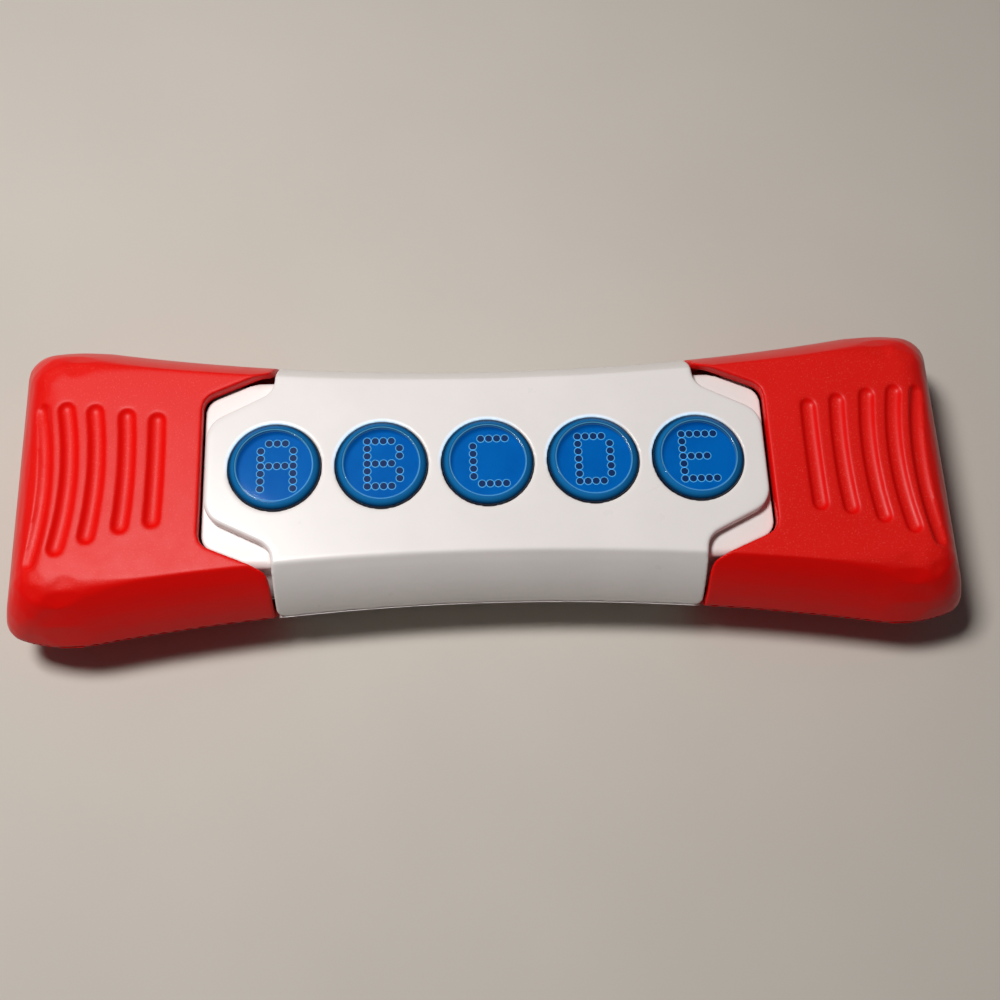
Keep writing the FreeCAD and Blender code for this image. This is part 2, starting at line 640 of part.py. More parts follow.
def bottom_cover():
    """White shell with the battery bay, grille, switch recess and screw wells."""
    band = box("BottomBand", ("-cover_reach", "cover_reach"), ("-past_half", "past_half"),
               ("-1", "mid_height"))
    blank = common("BottomBlank", upside_down("LowerCoverForm", UPPER_COVER_FORM), band)
    shell = cut("BottomShell", blank, upside_down("LowerCoverHollow", UPPER_COVER_HOLLOW),
                NECK_SPACE["lower"], *cover_corners("Lower", -1))
    places = four("case_screw_x", "case_screw_y")
    bosses = posts("BottomBoss", "case_lower_boss_radius", places, "case_lower_boss_low",
                   "case_lower_boss_top")
    solid = fuse("BottomSolid", shell, *bay_walls(), *bosses, switch_pan(), speaker_ring())
    tools = [*door_opening(), *switch_openings(), *grille_holes()]
    tools += posts("CaseHeadWell", "head_clearance", places, "-1", "case_head_low + head_thick")
    tools += posts("CaseShankHole", "shank_clearance", places, "0", "case_lower_boss_top + 1")
    return deliver(cut("BottomCover", solid, *tools), "bottom_cover")


def switch_pan():
    """Block that the power switch's recess is sunk into."""
    middle, long, wide = "switch_x + switch_travel / 2", "recess_half_long + recess_wall", "recess_half + 1"
    return box("RecessBlock", (f"{middle} - ({long})", f"{middle} + {long}"), (f"-({wide})", wide),
               ("0.5", "recess_deep + recess_wall"))


def switch_openings():
    """The power switch's recess, and the slot in its floor for the slider's stem."""
    middle = "switch_x + switch_travel / 2"
    return [box("SwitchRecess", (f"{middle} - recess_half_long", f"{middle} + recess_half_long"),
                ("-recess_half", "recess_half"), ("-1", "recess_deep")),
            box("SwitchSlot", (f"{middle} - slider_slot_half_long", f"{middle} + slider_slot_half_long"),
                ("-slider_slot_half", "slider_slot_half"), ("0", "4"))]


def speaker_ring():
    """Low wall on the floor that the speaker sits in."""
    base, top, at = "roof - 0.1", "speaker_low + speaker_ring_high", ("speaker_x", "0")
    outer = rod("SpeakerRingOuter", "z", "speaker_radius + speaker_gap + speaker_ring", (base, top), at)
    inner = rod("SpeakerRingInner", "z", "speaker_radius + speaker_gap", (f"{base} - 0.1", f"{top} + 0.1"),
                at)
    return cut("SpeakerRing", outer, inner)


def door_opening():
    """Opening for the battery door, with the notches for its tabs and the hole for its screw."""
    wide = "door_half + door_gap"
    tools = [box("DoorOpening", ("door_left - door_gap", "door_right + door_gap"), (f"-({wide})", wide),
                 ("-1", "roof + 0.05")),
             rod("DoorPilot", "z", "shank_radius + door_screw_gap", ("1", "door_boss_top - 2"),
                 ("door_screw_x", "0"))]
    for side, sign in (("Near", "-"), ("Far", "")):
        middle = f"{sign}door_tab_y"
        tools.append(box(f"TabNotch{side}", ("bay_reach - 1", "bay_reach + bay_wall + 2"),
                         (f"{middle} - door_tab_half - tab_notch_gap",
                          f"{middle} + door_tab_half + tab_notch_gap"),
                         ("roof - 0.02", "tab_notch_top")))
    return tools


def grille_holes():
    """Round holes in a hexagon of rings under the speaker."""
    holes = []
    for column in range(-2, 3):
        count = 5 - abs(column)
        for row in range(count):
            x = f"speaker_x + {column} * grille_pitch * 0.866"
            y = f"{row - (count - 1) / 2} * grille_pitch"
            holes.append(rod(f"Grille{column + 2}{row}", "z", "grille_hole", ("-1", "roof + 0.5"), (x, y)))
    return holes


def battery_door():
    """Flat door whose round end bead it swings on, with two tabs, a ribbed pull and a well for its screw."""
    bead, top = "door_right - door_bead_radius", "door_low + 2 * door_bead_radius"
    body = plate("BatteryDoor", rectangle("door_left", bead, "-door_half", "door_half"), "door_low",
                 "2 * door_bead_radius")
    edge = rod("DoorBead", "y", "door_bead_radius", ("-door_half", "door_half"),
               (bead, "door_low + door_bead_radius"))
    tabs = []
    for side, sign in (("Near", "-"), ("Far", "")):
        wide = (f"{sign}door_tab_y - door_tab_half", f"{sign}door_tab_y + door_tab_half")
        tabs.append(box(f"DoorTab{side}", ("door_tab_start", "door_right + door_tab_long"), wide,
                        ("roof + door_tab_low", "roof + door_tab_top")))
        tabs.append(box(f"DoorTabRoot{side}", ("door_tab_start", "door_right - 0.4"), wide,
                        (f"{top} - 0.2", "roof + door_tab_top")))
    at = ("door_screw_x", "0")
    pad = rod("DoorScrewPad", "z", "door_pad_radius", ("door_low", "door_pad_top"), at)
    starts = [f"door_pull_start + {index} * door_pull_pitch" for index in range(4)]
    ribs = [box(f"DoorRib{index}", (start, f"{start} + door_pull_wide"),
                ("-door_pull_half", "door_pull_half"),
                ("-1", "door_low + door_pull_deep")) for index, start in enumerate(starts)]
    well = rod("DoorScrewWell", "z", "head_clearance", ("-1", "door_screw_low + head_thick"), at)
    hole = rod("DoorScrewHole", "z", "shank_clearance", ("0", "door_pad_top + 1"), at)
    return deliver(cut("BatteryDoorCut", fuse("BatteryDoorSolid", body, edge, *tabs, pad), *ribs, well, hole),
                   "battery_door")


# Frames inside the centre

def frame_half(half, form):
    """One half of the hollow neck, closed at both ends."""
    inner = section_prism(half + "NeckInside", neck_corners(half, -size("neck_wall")), "neck_reach - 2")
    return cut(half + "NeckShell", form, inner)


def ledge_block(name, start, end, grown):
    """Flat-topped block across the neck on the right, from the start to the end in X."""
    half, low, top = size("ledge_half") + grown, size("ledge_low"), size("neck_flat_high") + grown
    corners = [(half, low, 0), (half, top, size("ledge_radius"))]
    corners += [(-y, z, radius) for y, z, radius in reversed(corners)]
    section = section_prism(name + "Form", [(y, size("mid_height") + z, radius) for y, z, radius in corners],
                            "past_reach")
    return common(name, section, box(name + "Span", (start, end), ("-past_half", "past_half"),
                                     ("0", "past_high")))


def ledges():
    """Ledge that fills the mouth around the tongue, on the right and on the left."""
    block = ledge_block("LedgeBlock", "ledge_start", "mouth_reach - ledge_gap", 0)
    below_lip = box("BelowLip", ("neck_reach", "past_reach"), ("-past_half", "past_half"),
                    ("0", high("ledge_lip_low")))
    ledge = cut("Ledge", block, below_lip)
    return [ledge, mirrored("LedgeLeft", ledge)]


def rim_rooms():
    """Room above the neck's shoulders in which the rim of each mouth moves as the grip twists."""
    plan = plan_prism("RimRoom", mouth_plan(size("ledge_start") - 1, -size("ledge_gap")),
                      high("rim_room_low"))
    return [plan, mirrored("RimRoomLeft", plan)]


def upper_frame():
    """Upper half of the neck, with its ledges, the well for the buttons and the board's bosses."""
    frame_places = four("frame_screw_x", "frame_screw_y")
    board_places = board_screw_places()
    rods = posts("UpperFrameBoss", "frame_boss_radius", frame_places, "mid_height", high("neck_flat_high"))
    frame_bosses = common("UpperFrameBosses", NECK["upper"], fuse("UpperFrameBossRods", *rods))
    board_bosses = posts("BoardBoss", "board_boss_radius", board_places, high("board_high"),
                         high("neck_flat_high - 1"))
    form = cut("UpperFrameForm", fuse("UpperFrameBlank", NECK["upper"], *ledges()), *rim_rooms())
    solid = fuse("UpperFrameSolid", frame_half("upper", form), frame_bosses, *board_bosses)
    well_span = (high("neck_edge_high"), "past_high")
    well = [box("ButtonWell", ("-2 * button_pitch", "2 * button_pitch"), ("-well_half", "well_half"),
                well_span)]
    for side, sign in SIDES.items():
        well.append(rod(f"WellEnd{side}", "z", "well_half", well_span, (f"{sign} * 2 * button_pitch", "0")))
        well.append(rod(f"UpperHubHole{side}", "x", "hub_radius + hub_gap", hub_span(sign),
                        ("0", "mid_height")))
    holes = posts("CaseBossHole", "case_boss_hole", four("case_screw_x", "case_screw_y"), "mid_height",
                  "past_high")
    pilots = posts("FramePilot", "shank_radius + pilot_gap", frame_places, "mid_height - 1",
                   high("frame_screw_top + 1"))
    pilots += posts("BoardPilot", "shank_radius + pilot_gap", board_places, high("board_low"),
                    high("board_screw_top + 0.3"))
    return deliver(cut("UpperFrame", solid, *well, *holes, *pilots), "upper_frame")


def hub_span(sign):
    """Stretch along X that passes right through one of the neck's end walls."""
    return f"{sign} * (neck_reach - 1) - 2", f"{sign} * (neck_reach - 1) + 2"


def board_screw_places():
    """Places of the eight board screws: four outer ones, and four a third as far from the middle."""
    outer = four("board_screw_x", "board_screw_y")
    return outer + [(x / 3, y) for x, y in outer]


def lower_frame():
    """Lower half of the neck, open under the battery bay, the speaker and the switch."""
    frame_places = four("frame_screw_x", "frame_screw_y")
    rods = posts("LowerFrameBoss", "frame_boss_radius + 1", frame_places, high("-lower_flat_high"),
                 "mid_height")
    bosses = common("LowerFrameBosses", NECK["lower"], fuse("LowerFrameBossRods", *rods))
    solid = fuse("LowerFrameSolid", frame_half("lower", NECK["lower"]), bosses)
    floor = (high("-lower_flat_high - 2"), high("-lower_flat_high + neck_wall + 2"))
    bay_half = "bay_half + bay_wall + 0.4"
    tools = [box("BayOpening", ("door_left - 1.9", "bay_reach + bay_wall + 1.5"),
                 (f"-({bay_half})", bay_half), floor),
             rod("SpeakerOpening", "z", "speaker_radius + 1.4", floor, ("speaker_x", "0")),
             box("SwitchOpening", ("switch_x - 4.6", "door_left"), ("-5.4", "5.4"), floor)]
    for side, sign in SIDES.items():
        tools.append(rod(f"LowerHubHole{side}", "x", "hub_radius + hub_gap", hub_span(sign),
                         ("0", "mid_height")))
        tools.append(rod(f"SensorLeadHole{side}", "x", "sensor_hole", hub_span(sign),
                         ("sensor_lead_y", high("sensor_lead_high"))))
    tools += posts("FrameHeadWell", "head_clearance", frame_places, "0", high("frame_head_low + head_thick"))
    tools += posts("FrameShankHole", "shank_clearance", frame_places, "0", "mid_height + 1")
    tools += posts("CaseScrewHole", "case_lower_boss_radius + 0.3", four("case_screw_x", "case_screw_y"), "2",
                   high("-lower_flat_high + neck_wall + 3"))
    return deliver(cut("LowerFrame", solid, *tools), "lower_frame")


# Buttons and displays

def letter_button(number):
    """Blue cap: flat top, bevelled shoulder, skirt and a flange that stays under the cover."""
    profile = [("0", "cap_hollow_high"), ("cap_hollow_radius", "cap_hollow_high"),
               ("cap_hollow_radius", "cap_low"),
               ("cap_radius", "cap_low"), ("cap_radius", "flange_low"), ("flange_radius", "flange_low"),
               ("flange_radius", "flange_high"), ("cap_radius", "flange_high"),
               ("cap_radius", "cap_shoulder_high"),
               ("cap_top_radius", "cap_high"), ("0", "cap_high")]
    body = turned(f"LetterButton{number}", "z", profile)
    place(body, f"({number} - 3) * button_pitch", "0", "mid_height")
    return deliver(body, f"letter_button_{number}")


def button_dome(number):
    """Silicone ring that the cap stands on: a foot, a slanted web and a top ring."""
    profile = [("dome_foot_inner", "board_high"), ("dome_foot_outer", "board_high"),
               ("dome_foot_outer", "board_high + dome_foot_thick"), ("dome_top_outer", "cap_low - dome_web"),
               ("dome_top_outer", "cap_low"), ("dome_top_inner", "cap_low"),
               ("dome_top_inner", "cap_low - dome_web"),
               ("dome_foot_inner", "board_high + dome_foot_thick")]
    body = turned(f"ButtonDome{number}", "z", profile)
    place(body, f"({number} - 3) * button_pitch", "0", "mid_height")
    return deliver(body, f"button_dome_{number}")


def display(number):
    """Round dot-matrix display glass."""
    disc = rod(f"Display{number}", "z", "display_radius", (high("display_low"), high("display_high")),
               (f"({number} - 3) * button_pitch", "0"))
    return deliver(disc, f"display_{number}")


def backlight(number):
    """Light guide between the board and the display, stepped to carry the glass."""
    step = "display_low - 0.8"
    profile = [("0", "board_high"), ("display_radius - 1", "board_high"), ("display_radius - 1", step),
               ("display_radius", step), ("display_radius", "display_low"), ("0", "display_low")]
    body = turned(f"Backlight{number}", "z", profile)
    place(body, f"({number} - 3) * button_pitch", "0", "mid_height")
    return deliver(body, f"backlight_{number}")


def main_board():
    """Circuit board under the buttons, notched round the case bosses."""
    body = plate("MainBoard", rectangle("-board_reach", "board_reach", "-board_half", "board_half"),
                 high("board_low"), "board_high - board_low")
    holes = posts("BoardHole", "shank_clearance", board_screw_places(), high("0"), "past_high")
    notches = posts("BoardNotch", "case_boss_hole + 0.4", four("case_screw_x", "case_screw_y"), high("0"),
                    "past_high")
    return deliver(cut("MainBoardCut", body, *holes, *notches), "main_board")


BLOCKS_ON_BOARD = (
    # name, near left corner in X and Y, length, width and thickness
    ("Chip", -6, -6, 12, 12, 1.4),
    ("Driver", -31, -3, 8, 6, 1.2),
    ("Regulator", 21, -8, 4, 3, 1.3),
)
CAPACITORS = ((30, 6), (-16, 8), (-38, -7))
SMALL_PARTS = ((9, -8), (9, -5), (-12, -8), (-9, 9), (18, 3), (34, -4), (-20, -9))


def under_board(name, x, y, long, wide, thick):
    """Block on the underside of the board, from its near left corner."""
    height = (high(f"board_low - {thick}"), high("board_low"))
    return box(name, (x, f"{x} + {long}"), (y, f"{y} + {wide}"), height)


def board_parts():
    """Controller chip and small parts on the underside of the board."""
    items = [under_board(*block) for block in BLOCKS_ON_BOARD]
    items.append(rod("Crystal", "y", "crystal_radius", ("crystal_near", "crystal_near + crystal_long"),
                     ("crystal_x", high("board_low - crystal_radius"))))
    for index, (x, y) in enumerate(CAPACITORS):
        items.append(rod(f"Capacitor{index}", "z", "capacitor_radius",
                         (high("board_low - capacitor_high"), high("board_low")), (x, y)))
    for index, (x, y) in enumerate(SMALL_PARTS):
        items.append(under_board(f"SmallPart{index}", x, y, "small_long", "small_wide", "small_thick"))
    return deliver(together("BoardParts", items), "board_parts")


# Speaker, switch and cells

def speaker():
    """Round speaker, cone side down over the grille."""
    profile = [("0", "speaker_dome_low"), ("speaker_dome_radius", "speaker_dome_low"),
               ("speaker_cone_radius", "speaker_cone_low"), ("speaker_cone_radius", "0"),
               ("speaker_radius", "0"), ("speaker_radius", "speaker_rim"),
               ("speaker_cone_radius", "speaker_basket"), ("speaker_magnet_radius", "speaker_basket"),
               ("speaker_magnet_radius", "speaker_thick"), ("0", "speaker_thick")]
    body = turned("Speaker", "z", profile)
    place(body, "speaker_x", "0", "speaker_low")
    return deliver(body, "speaker")


def power_switch():
    """Switch body on the inside of the recess, with a slot for the slider."""
    middle = "switch_x + switch_travel / 2"
    body = box("SwitchBlock", (f"{middle} - switch_half_long", f"{middle} + switch_half_long"),
               ("-switch_half", "switch_half"), ("recess_deep + recess_wall + 0.05", "switch_top"))
    long, wide = "slider_slot_half_long + 0.2", "slider_slot_half + 0.1"
    slot = box("SwitchBlockSlot", (f"{middle} - ({long})", f"{middle} + {long}"), (f"-({wide})", wide),
               ("0", "stem_top + 0.2"))
    return deliver(cut("PowerSwitch", body, slot), "power_switch_body")


def switch_slider():
    """Knob in the recess with a stem up into the switch."""
    knob = box("Knob", ("switch_x - knob_long / 2", "switch_x + knob_long / 2"), ("-knob_half", "knob_half"),
               ("knob_low", "recess_deep - 0.1"))
    stem = box("KnobStem", ("switch_x - stem_half", "switch_x + stem_half"), ("-stem_half", "stem_half"),
               ("2 * knob_low", "stem_top"))
    ribs = []
    for index in (-1, 0, 1):
        start = f"switch_x + {index} * knob_rib_pitch - knob_rib_wide / 2"
        ribs.append(box(f"KnobRib{index + 1}", (start, f"{start} + knob_rib_wide"),
                        ("-knob_half - 0.5", "knob_half + 0.5"), ("0", "2 * knob_low")))
    return deliver(cut("SwitchSlider", fuse("SliderSolid", knob, stem), *ribs), "power_switch_slider")


def battery(number):
    """AAA cell, turned end for end in the middle of the three."""
    nub = "cell_body + cell_nub"
    profile = [("0", "0"), ("cell_radius - 0.5", "0"), ("cell_radius", "0.5"),
               ("cell_radius", "cell_body - 0.5"),
               ("cell_radius - 0.5", "cell_body"), ("cell_nub_radius", "cell_body"), ("cell_nub_radius", nub),
               ("0", nub)]
    body = turned(f"Battery{number}", "x", profile)
    body.Placement.Rotation = FreeCAD.Rotation(Vector(0, 0, 1), 180 if number == 2 else 0)
    start = "bay_reach - plate_thick - spring_long"
    place(body, start if number == 2 else f"-({start})", f"({number} - 2) * cell_pitch",
          "cell_low + cell_radius")
    return deliver(body, f"battery_{number}")


def tangent_arc(start, heading, end):
    """Arc that leaves start along the heading and reaches end."""
    chord = end - start
    lean = heading.getAngle(chord)
    middle = (start + end) / 2
    reach = chord.Length / 2 / math.cos(lean)
    bulge = (start + heading * reach - middle).normalize() * (chord.Length / 2 * math.tan(lean / 2))
    return Part.Arc(start, middle + bulge, end).toShape()


def biarc(start, heading, end, leaving):
    """Two arcs from start to end that keep both directions and meet smoothly."""
    gap, both = end - start, heading + leaving
    spread = 2 * (1 - heading.dot(leaving))
    ahead = gap.dot(both)
    reach = (math.sqrt(ahead * ahead + spread * gap.dot(gap)) - ahead) / spread
    joint = (start + heading * reach + end - leaving * reach) / 2
    back = tangent_arc(end, leaving * -1, joint)
    return [tangent_arc(start, heading, joint), back]


def coil_shape(radius, wire, pitch, turns):
    """Round-wire coil about the Z line, starting at height 0, from biarcs of about a quarter turn each."""
    count = math.ceil(turns * 4)
    slope = math.atan(pitch / (2 * math.pi * radius))
    points, headings = [], []
    for index in range(count + 1):
        angle = 2 * math.pi * turns * index / count
        points.append(Vector(radius * math.cos(angle), radius * math.sin(angle),
                             pitch * turns * index / count))
        headings.append(Vector(-math.sin(angle) * math.cos(slope), math.cos(angle) * math.cos(slope),
                               math.sin(slope)))
    edges = []
    for index in range(count):
        edges += biarc(points[index], headings[index], points[index + 1], headings[index + 1])
    ring = Part.Wire([Part.Circle(points[0], headings[0], wire / 2).toShape()])
    coil = Part.Wire(Part.__sortEdges__(edges)).makePipeShell([ring], True, False)
    print(f"coil gap {pitch * math.cos(slope) - wire:.2f} mm, volume {coil.Volume:.2f} mm3")
    return coil


def battery_contacts():
    """Four contact plates: one wide plate at each end joins two cells, the single ones carry the leads."""
    plates = []
    for side, sign in SIDES.items():
        low = "bay_reach - plate_thick" if sign > 0 else "-bay_reach"
        thick, up = (low, f"{low} + plate_thick"), ("contact_low", "contact_top")
        single_y, wide_y = f"{sign} * cell_pitch", f"-{sign} * cell_pitch / 2"
        single = box(f"ContactSingle{side}", thick, (f"{single_y} - single_half",
                                                     f"{single_y} + single_half"), up)
        tab = box(f"ContactTab{side}", thick, (f"{single_y} - solder_tab_half",
                                               f"{single_y} + solder_tab_half"),
                  ("contact_top - 0.4", "bay_top + 1"))
        wide = box(f"ContactWide{side}", thick, (f"{wide_y} - wide_half", f"{wide_y} + wide_half"), up)
        if sign > 0:
            bump_start = "bay_reach - plate_thick - bump_high"
            plates.append(fuse(f"SinglePlate{side}", single, tab, bump("Outer", bump_start, single_y)))
            plates.append(fuse(f"WidePlate{side}", wide, bump("Wide", bump_start, "-cell_pitch")))
        else:
            plates.append(fuse(f"SinglePlate{side}", single, tab))
            plates.append(fuse(f"WidePlate{side}", wide,
                               bump("Middle", "-bay_reach + plate_thick - 0.05", "0")))
    return deliver(together("BatteryContacts", plates), "battery_contacts")


def bump(name, start, y):
    """Round bump on a contact plate that a cell's button end meets."""
    return rod(f"ContactBump{name}", "x", "bump_radius", (start, f"{start} + bump_high + 0.05"),
               (y, "cell_low + cell_radius"))


def battery_springs():
    """Three coil springs, each pressing on the flat end of a cell."""
    wire, turns = size("spring_wire"), size("spring_turns")
    pitch = (size("spring_long") - wire - 0.1) / turns
    shape = coil_shape(size("spring_radius"), wire, pitch, turns)
    level = size("cell_low") + size("cell_radius")
    copies = []
    for number, flip in ((1, 1), (2, -1), (3, 1)):
        turn = FreeCAD.Rotation(Vector(0, 1, 0), 90 * flip)
        start = -flip * (size("bay_reach") - size("plate_thick") - wire / 2 - 0.03)
        seat = FreeCAD.Placement(Vector(start, (number - 2) * size("cell_pitch"), level), turn)
        copies.append(shape.transformed(seat.toMatrix()))
    return deliver(made("BatterySprings", Part.makeCompound(copies)), "battery_springs")


# Pivots, return springs and twist switches

def pivot_hub(side):
    """Tube at the end of the neck that the grip turns on, with a collar, a capped end and a stop peg."""
    flange, sleeve = "neck_reach - 2.1", "collar_end + rib_gap + rib_thick + 0.2"
    profile = [("hub_bore", f"{flange} - hub_flange_thick"),
               ("hub_flange_radius", f"{flange} - hub_flange_thick"),
               ("hub_flange_radius", flange), ("hub_radius", flange),
               ("hub_radius", "collar_start"), ("collar_radius", "collar_start"),
               ("collar_radius", "collar_end"),
               ("hub_radius", "collar_end"), ("hub_radius", sleeve), ("sleeve_radius", sleeve),
               ("sleeve_radius", "hub_cap_start"), ("hub_cap_radius", "hub_cap_start"),
               ("hub_cap_radius", "hub_end"), ("hub_bore", "hub_end")]
    body = turned(f"HubTube{side}", "x", profile)
    place(body, z="mid_height")
    peg = rod(f"HubPeg{side}", "x", "peg_radius", (f"{sleeve} + 0.6", "hub_cap_start + 0.5"),
              ("0", high("hub_peg_high")))
    return deliver(on_side(f"PivotHub{side}", fuse(f"Hub{side}", body, peg), side), f"{side}_pivot_hub")


def on_side(name, item, side):
    """The item itself on the right, its mirror image in X on the left."""
    return item if side == "right" else mirrored(name, item)


def return_spring(side):
    """Centring spring: a coil round the hub's sleeve with two legs astride the pegs."""
    wire, radius, pitch = (size(alias) for alias in ("return_wire", "return_radius", "return_pitch"))
    mid, stand = size("mid_height"), size("peg_radius") + wire / 2 + 0.08
    angle = math.degrees(math.asin(stand / radius))
    coil = coil_shape(radius, wire, pitch, size("return_turns") + 2 * angle / 360)
    turn = FreeCAD.Rotation(Vector(1, 0, 0), 90 - angle).multiply(FreeCAD.Rotation(Vector(0, 1, 0), 90))
    start = size("collar_end") + size("rib_gap") + size("rib_thick") + 1.1
    coil = coil.transformed(FreeCAD.Placement(Vector(start, 0, mid), turn).toMatrix())
    leg_top = mid + size("grip_peg_high") + size("peg_radius")
    shape = coil
    for centre in spring_ends(coil):
        leg = Part.makeCylinder(wire / 2, leg_top - centre.z, centre)
        shape = shape.fuse(leg).fuse(Part.makeSphere(wire / 2, centre))
    if side == "left":
        shape = shape.mirror(Vector(0, 0, 0), Vector(1, 0, 0))
    return deliver(made(f"ReturnSpring{side}", shape), f"{side}_return_spring")


def spring_ends(coil):
    """Centres of the coil's two end faces, found on the solid itself."""
    flat = [face for face in coil.Faces if isinstance(face.Surface, Part.Plane)]
    flat.sort(key=lambda face: face.CenterOfMass.x)
    return [flat[0].CenterOfMass, flat[-1].CenterOfMass]


def twist_board(side):
    """Small upright board on the neck's end wall."""
    item = box(f"TwistBoard{side}", ("sensor_start", "sensor_start + sensor_thick"),
               ("-sensor_half", "sensor_half"),
               (high("sensor_low"), high("sensor_high")))
    return deliver(on_side(f"TwistBoardSide{side}", item, side), f"{side}_twist_board")


def twist_switches(side):
    """Two side-acting switches that the grip's lug moves towards."""
    items = []
    middle, start = high("(sensor_low + sensor_high) / 2"), "sensor_start + sensor_thick"
    inner, outer = "twist_case_inner", "twist_case_inner + twist_case_long"
    up = (f"{middle} - twist_case_half", f"{middle} + twist_case_half")
    for name, sign in (("Near", -1), ("Far", 1)):
        across = (inner, outer) if sign > 0 else (f"-({outer})", f"-({inner})")
        block = box(f"TwistCase{side}{name}", (start, f"{start} + twist_case_thick"), across, up)
        tip = ("plunger_tip", f"{inner} + 0.1") if sign > 0 else (f"-({inner} + 0.1)", "-plunger_tip")
        plunger = rod(f"Plunger{side}{name}", "y", "plunger_radius", tip,
                      (f"{start} + twist_case_thick / 2", middle))
        items.append(fuse(f"TwistSwitch{side}{name}", block, plunger))
    group = together(f"TwistSwitches{side}", items)
    return deliver(on_side(f"TwistSwitchesSide{side}", group, side), f"{side}_twist_switches")


# Grips

GROOVES = (
    # near end and far end in Y of each groove, how far its middle is moved outwards and its ends lie
    # outwards of the middle, and how far the middle and the ends are lowered towards the rounded end
    (-13.3, 13.8, 0, 0.2, 0, 0),
    (-14.6, 15.1, 0.1, 0.7, 0, 0),
    (-17.1, 16.5, 0.45, 1.3, 0, 0),
    (-20.0, 17.3, 0, 1.9, 0, 0),
    (-23.4, 17.3, -0.85, 2.4, 0.11, 0.7),
)


def groove(index):
    """Finger groove: round-bottomed channel along an arc that bows towards the middle."""
    near, far, shift, bow, middle_drop, end_drop = GROOVES[index]
    x = size("groove_start") + index * size("groove_step") + shift
    radius = size("groove_radius")
    top = height_at(1) + radius - size("groove_depth")
    ends = [Vector(x + bow, y, top - end_drop) for y in (near, far)]
    middle = Vector(x, (near + far) / 2, top - middle_drop)
    arc = Part.Arc(ends[0], middle, ends[1]).toShape()
    ring = Part.Wire([Part.Circle(ends[0], arc.tangentAt(arc.FirstParameter), radius).toShape()])
    channel = Part.Wire([arc]).makePipeShell([ring], True, False)
    for end in ends:
        channel = channel.fuse(Part.makeSphere(radius, end))
    return made(f"Groove{index + 1}", channel)


def saddle_ribs(name, form):
    """Two ribs across the shell that carry the hub, with the collar between them."""
    ribs = []
    for label, start in (("Inner", "rib_start"), ("Outer", "collar_end + rib_gap")):
        ribs.append(box(f"{name}Rib{label}", (start, f"{start} + rib_thick"), ("-rib_half", "rib_half"),
                        ("-1", "past_high")))
    pair = common(f"{name}Ribs", form, fuse(f"{name}RibPair", *ribs))
    bearing = rod(f"{name}Bearing", "x", "hub_radius + hub_gap", ("0", "past_reach"), ("0", "mid_height"))
    return cut(f"{name}Saddles", pair, bearing)


def post_places():
    """Places of one right grip's four screw posts."""
    inner = [(size("post_inner_x"), sign * size("post_inner_y")) for sign in (-1, 1)]
    outer = [(size("post_outer_x"), sign * size("post_outer_y")) for sign in (-1, 1)]
    return inner + outer


def grip_top():
    """Upper shell on the right: mouth with a deep rim, saddles, posts, spring peg and grooves."""
    plan = plan_prism("MouthPlan", mouth_plan(size("grip_start"), 0))
    rim_plan = plan_prism("RimPlan", mouth_plan(size("grip_start") - 12, size("mouth_rim")))
    blank = common("GripTopBlank", UPPER_GRIP_FORM, plan)
    low_slab = box("LowSlab", ("0", "past_reach"), ("-past_half", "past_half"),
                   ("0", high("top_high - mouth_wall")))
    low_hollow = common("LowHollow", UPPER_GRIP_HOLLOW, low_slab)
    high_hollow = common("HighHollow", UPPER_GRIP_HOLLOW, rim_plan)
    shell = cut("GripTopShell", blank, low_hollow, high_hollow)
    rods = posts("TopPost", "post_radius", post_places(), "mid_height", "past_high")
    columns = common("TopPosts", UPPER_GRIP_FORM, fuse("TopPostRods", *rods))
    peg_span = ("collar_end + rib_gap + rib_thick - 0.5", "collar_end + rib_gap + rib_thick + 4.9")
    peg = rod("GripPeg", "x", "peg_radius", peg_span, ("0", high("grip_peg_high")))
    solid = fuse("GripTopSolid", shell, saddle_ribs("Upper", UPPER_GRIP_FORM), columns, peg)
    pilots = posts("GripPilot", "shank_radius + pilot_gap", post_places(), "mid_height - 1",
                   "grip_screw_top + 1")
    grooves = [groove(index) for index in range(len(GROOVES))]
    return cut("GripTop", solid, *pilots, *grooves)


def grip_bottom():
    """Lower shell on the right: straight inner edge, saddles, screw posts and the switch lug."""
    form = upside_down("LowerGripForm", UPPER_GRIP_FORM)
    region = box("GripRegion", ("grip_start", "past_reach"), ("-past_half", "past_half"),
                 ("-1", "mid_height"))
    blank = common("GripBottomBlank", form, region)
    shell = cut("GripBottomShell", blank, upside_down("LowerGripHollow", UPPER_GRIP_HOLLOW))
    rods = posts("BottomPost", "well_post_radius", post_places(), "-1", "mid_height")
    columns = common("BottomPosts", form, fuse("BottomPostRods", *rods))
    lug = box("Lug", ("sensor_start + sensor_thick + 0.4", "rib_start + 0.5"), ("-lug_half", "lug_half"),
              (high("sensor_low + 0.7"), high("sensor_high - 0.7")))
    solid = fuse("GripBottomSolid", shell, saddle_ribs("Lower", form), columns, lug)
    wells = posts("GripWell", "head_clearance + 0.2", post_places(), "-1", "post_well + head_thick")
    holes = posts("GripHole", "shank_clearance", post_places(), "0", "mid_height + 1")
    return cut("GripBottom", solid, *wells, *holes)


def grips():
    """Both grips, the left one a mirror image of the right."""
    upper, lower = grip_top(), grip_bottom()
    for side, sign in SIDES.items():
        deliver(on_side(f"GripTop{side}", upper, side), f"{side}_grip_top")
        deliver(on_side(f"GripBottom{side}", lower, side), f"{side}_grip_bottom")
        places = [(sign * x, y) for x, y in post_places()]
        screws(f"{side}_grip_screws", places, size("post_well"), size("grip_screw_top"))


# Leads

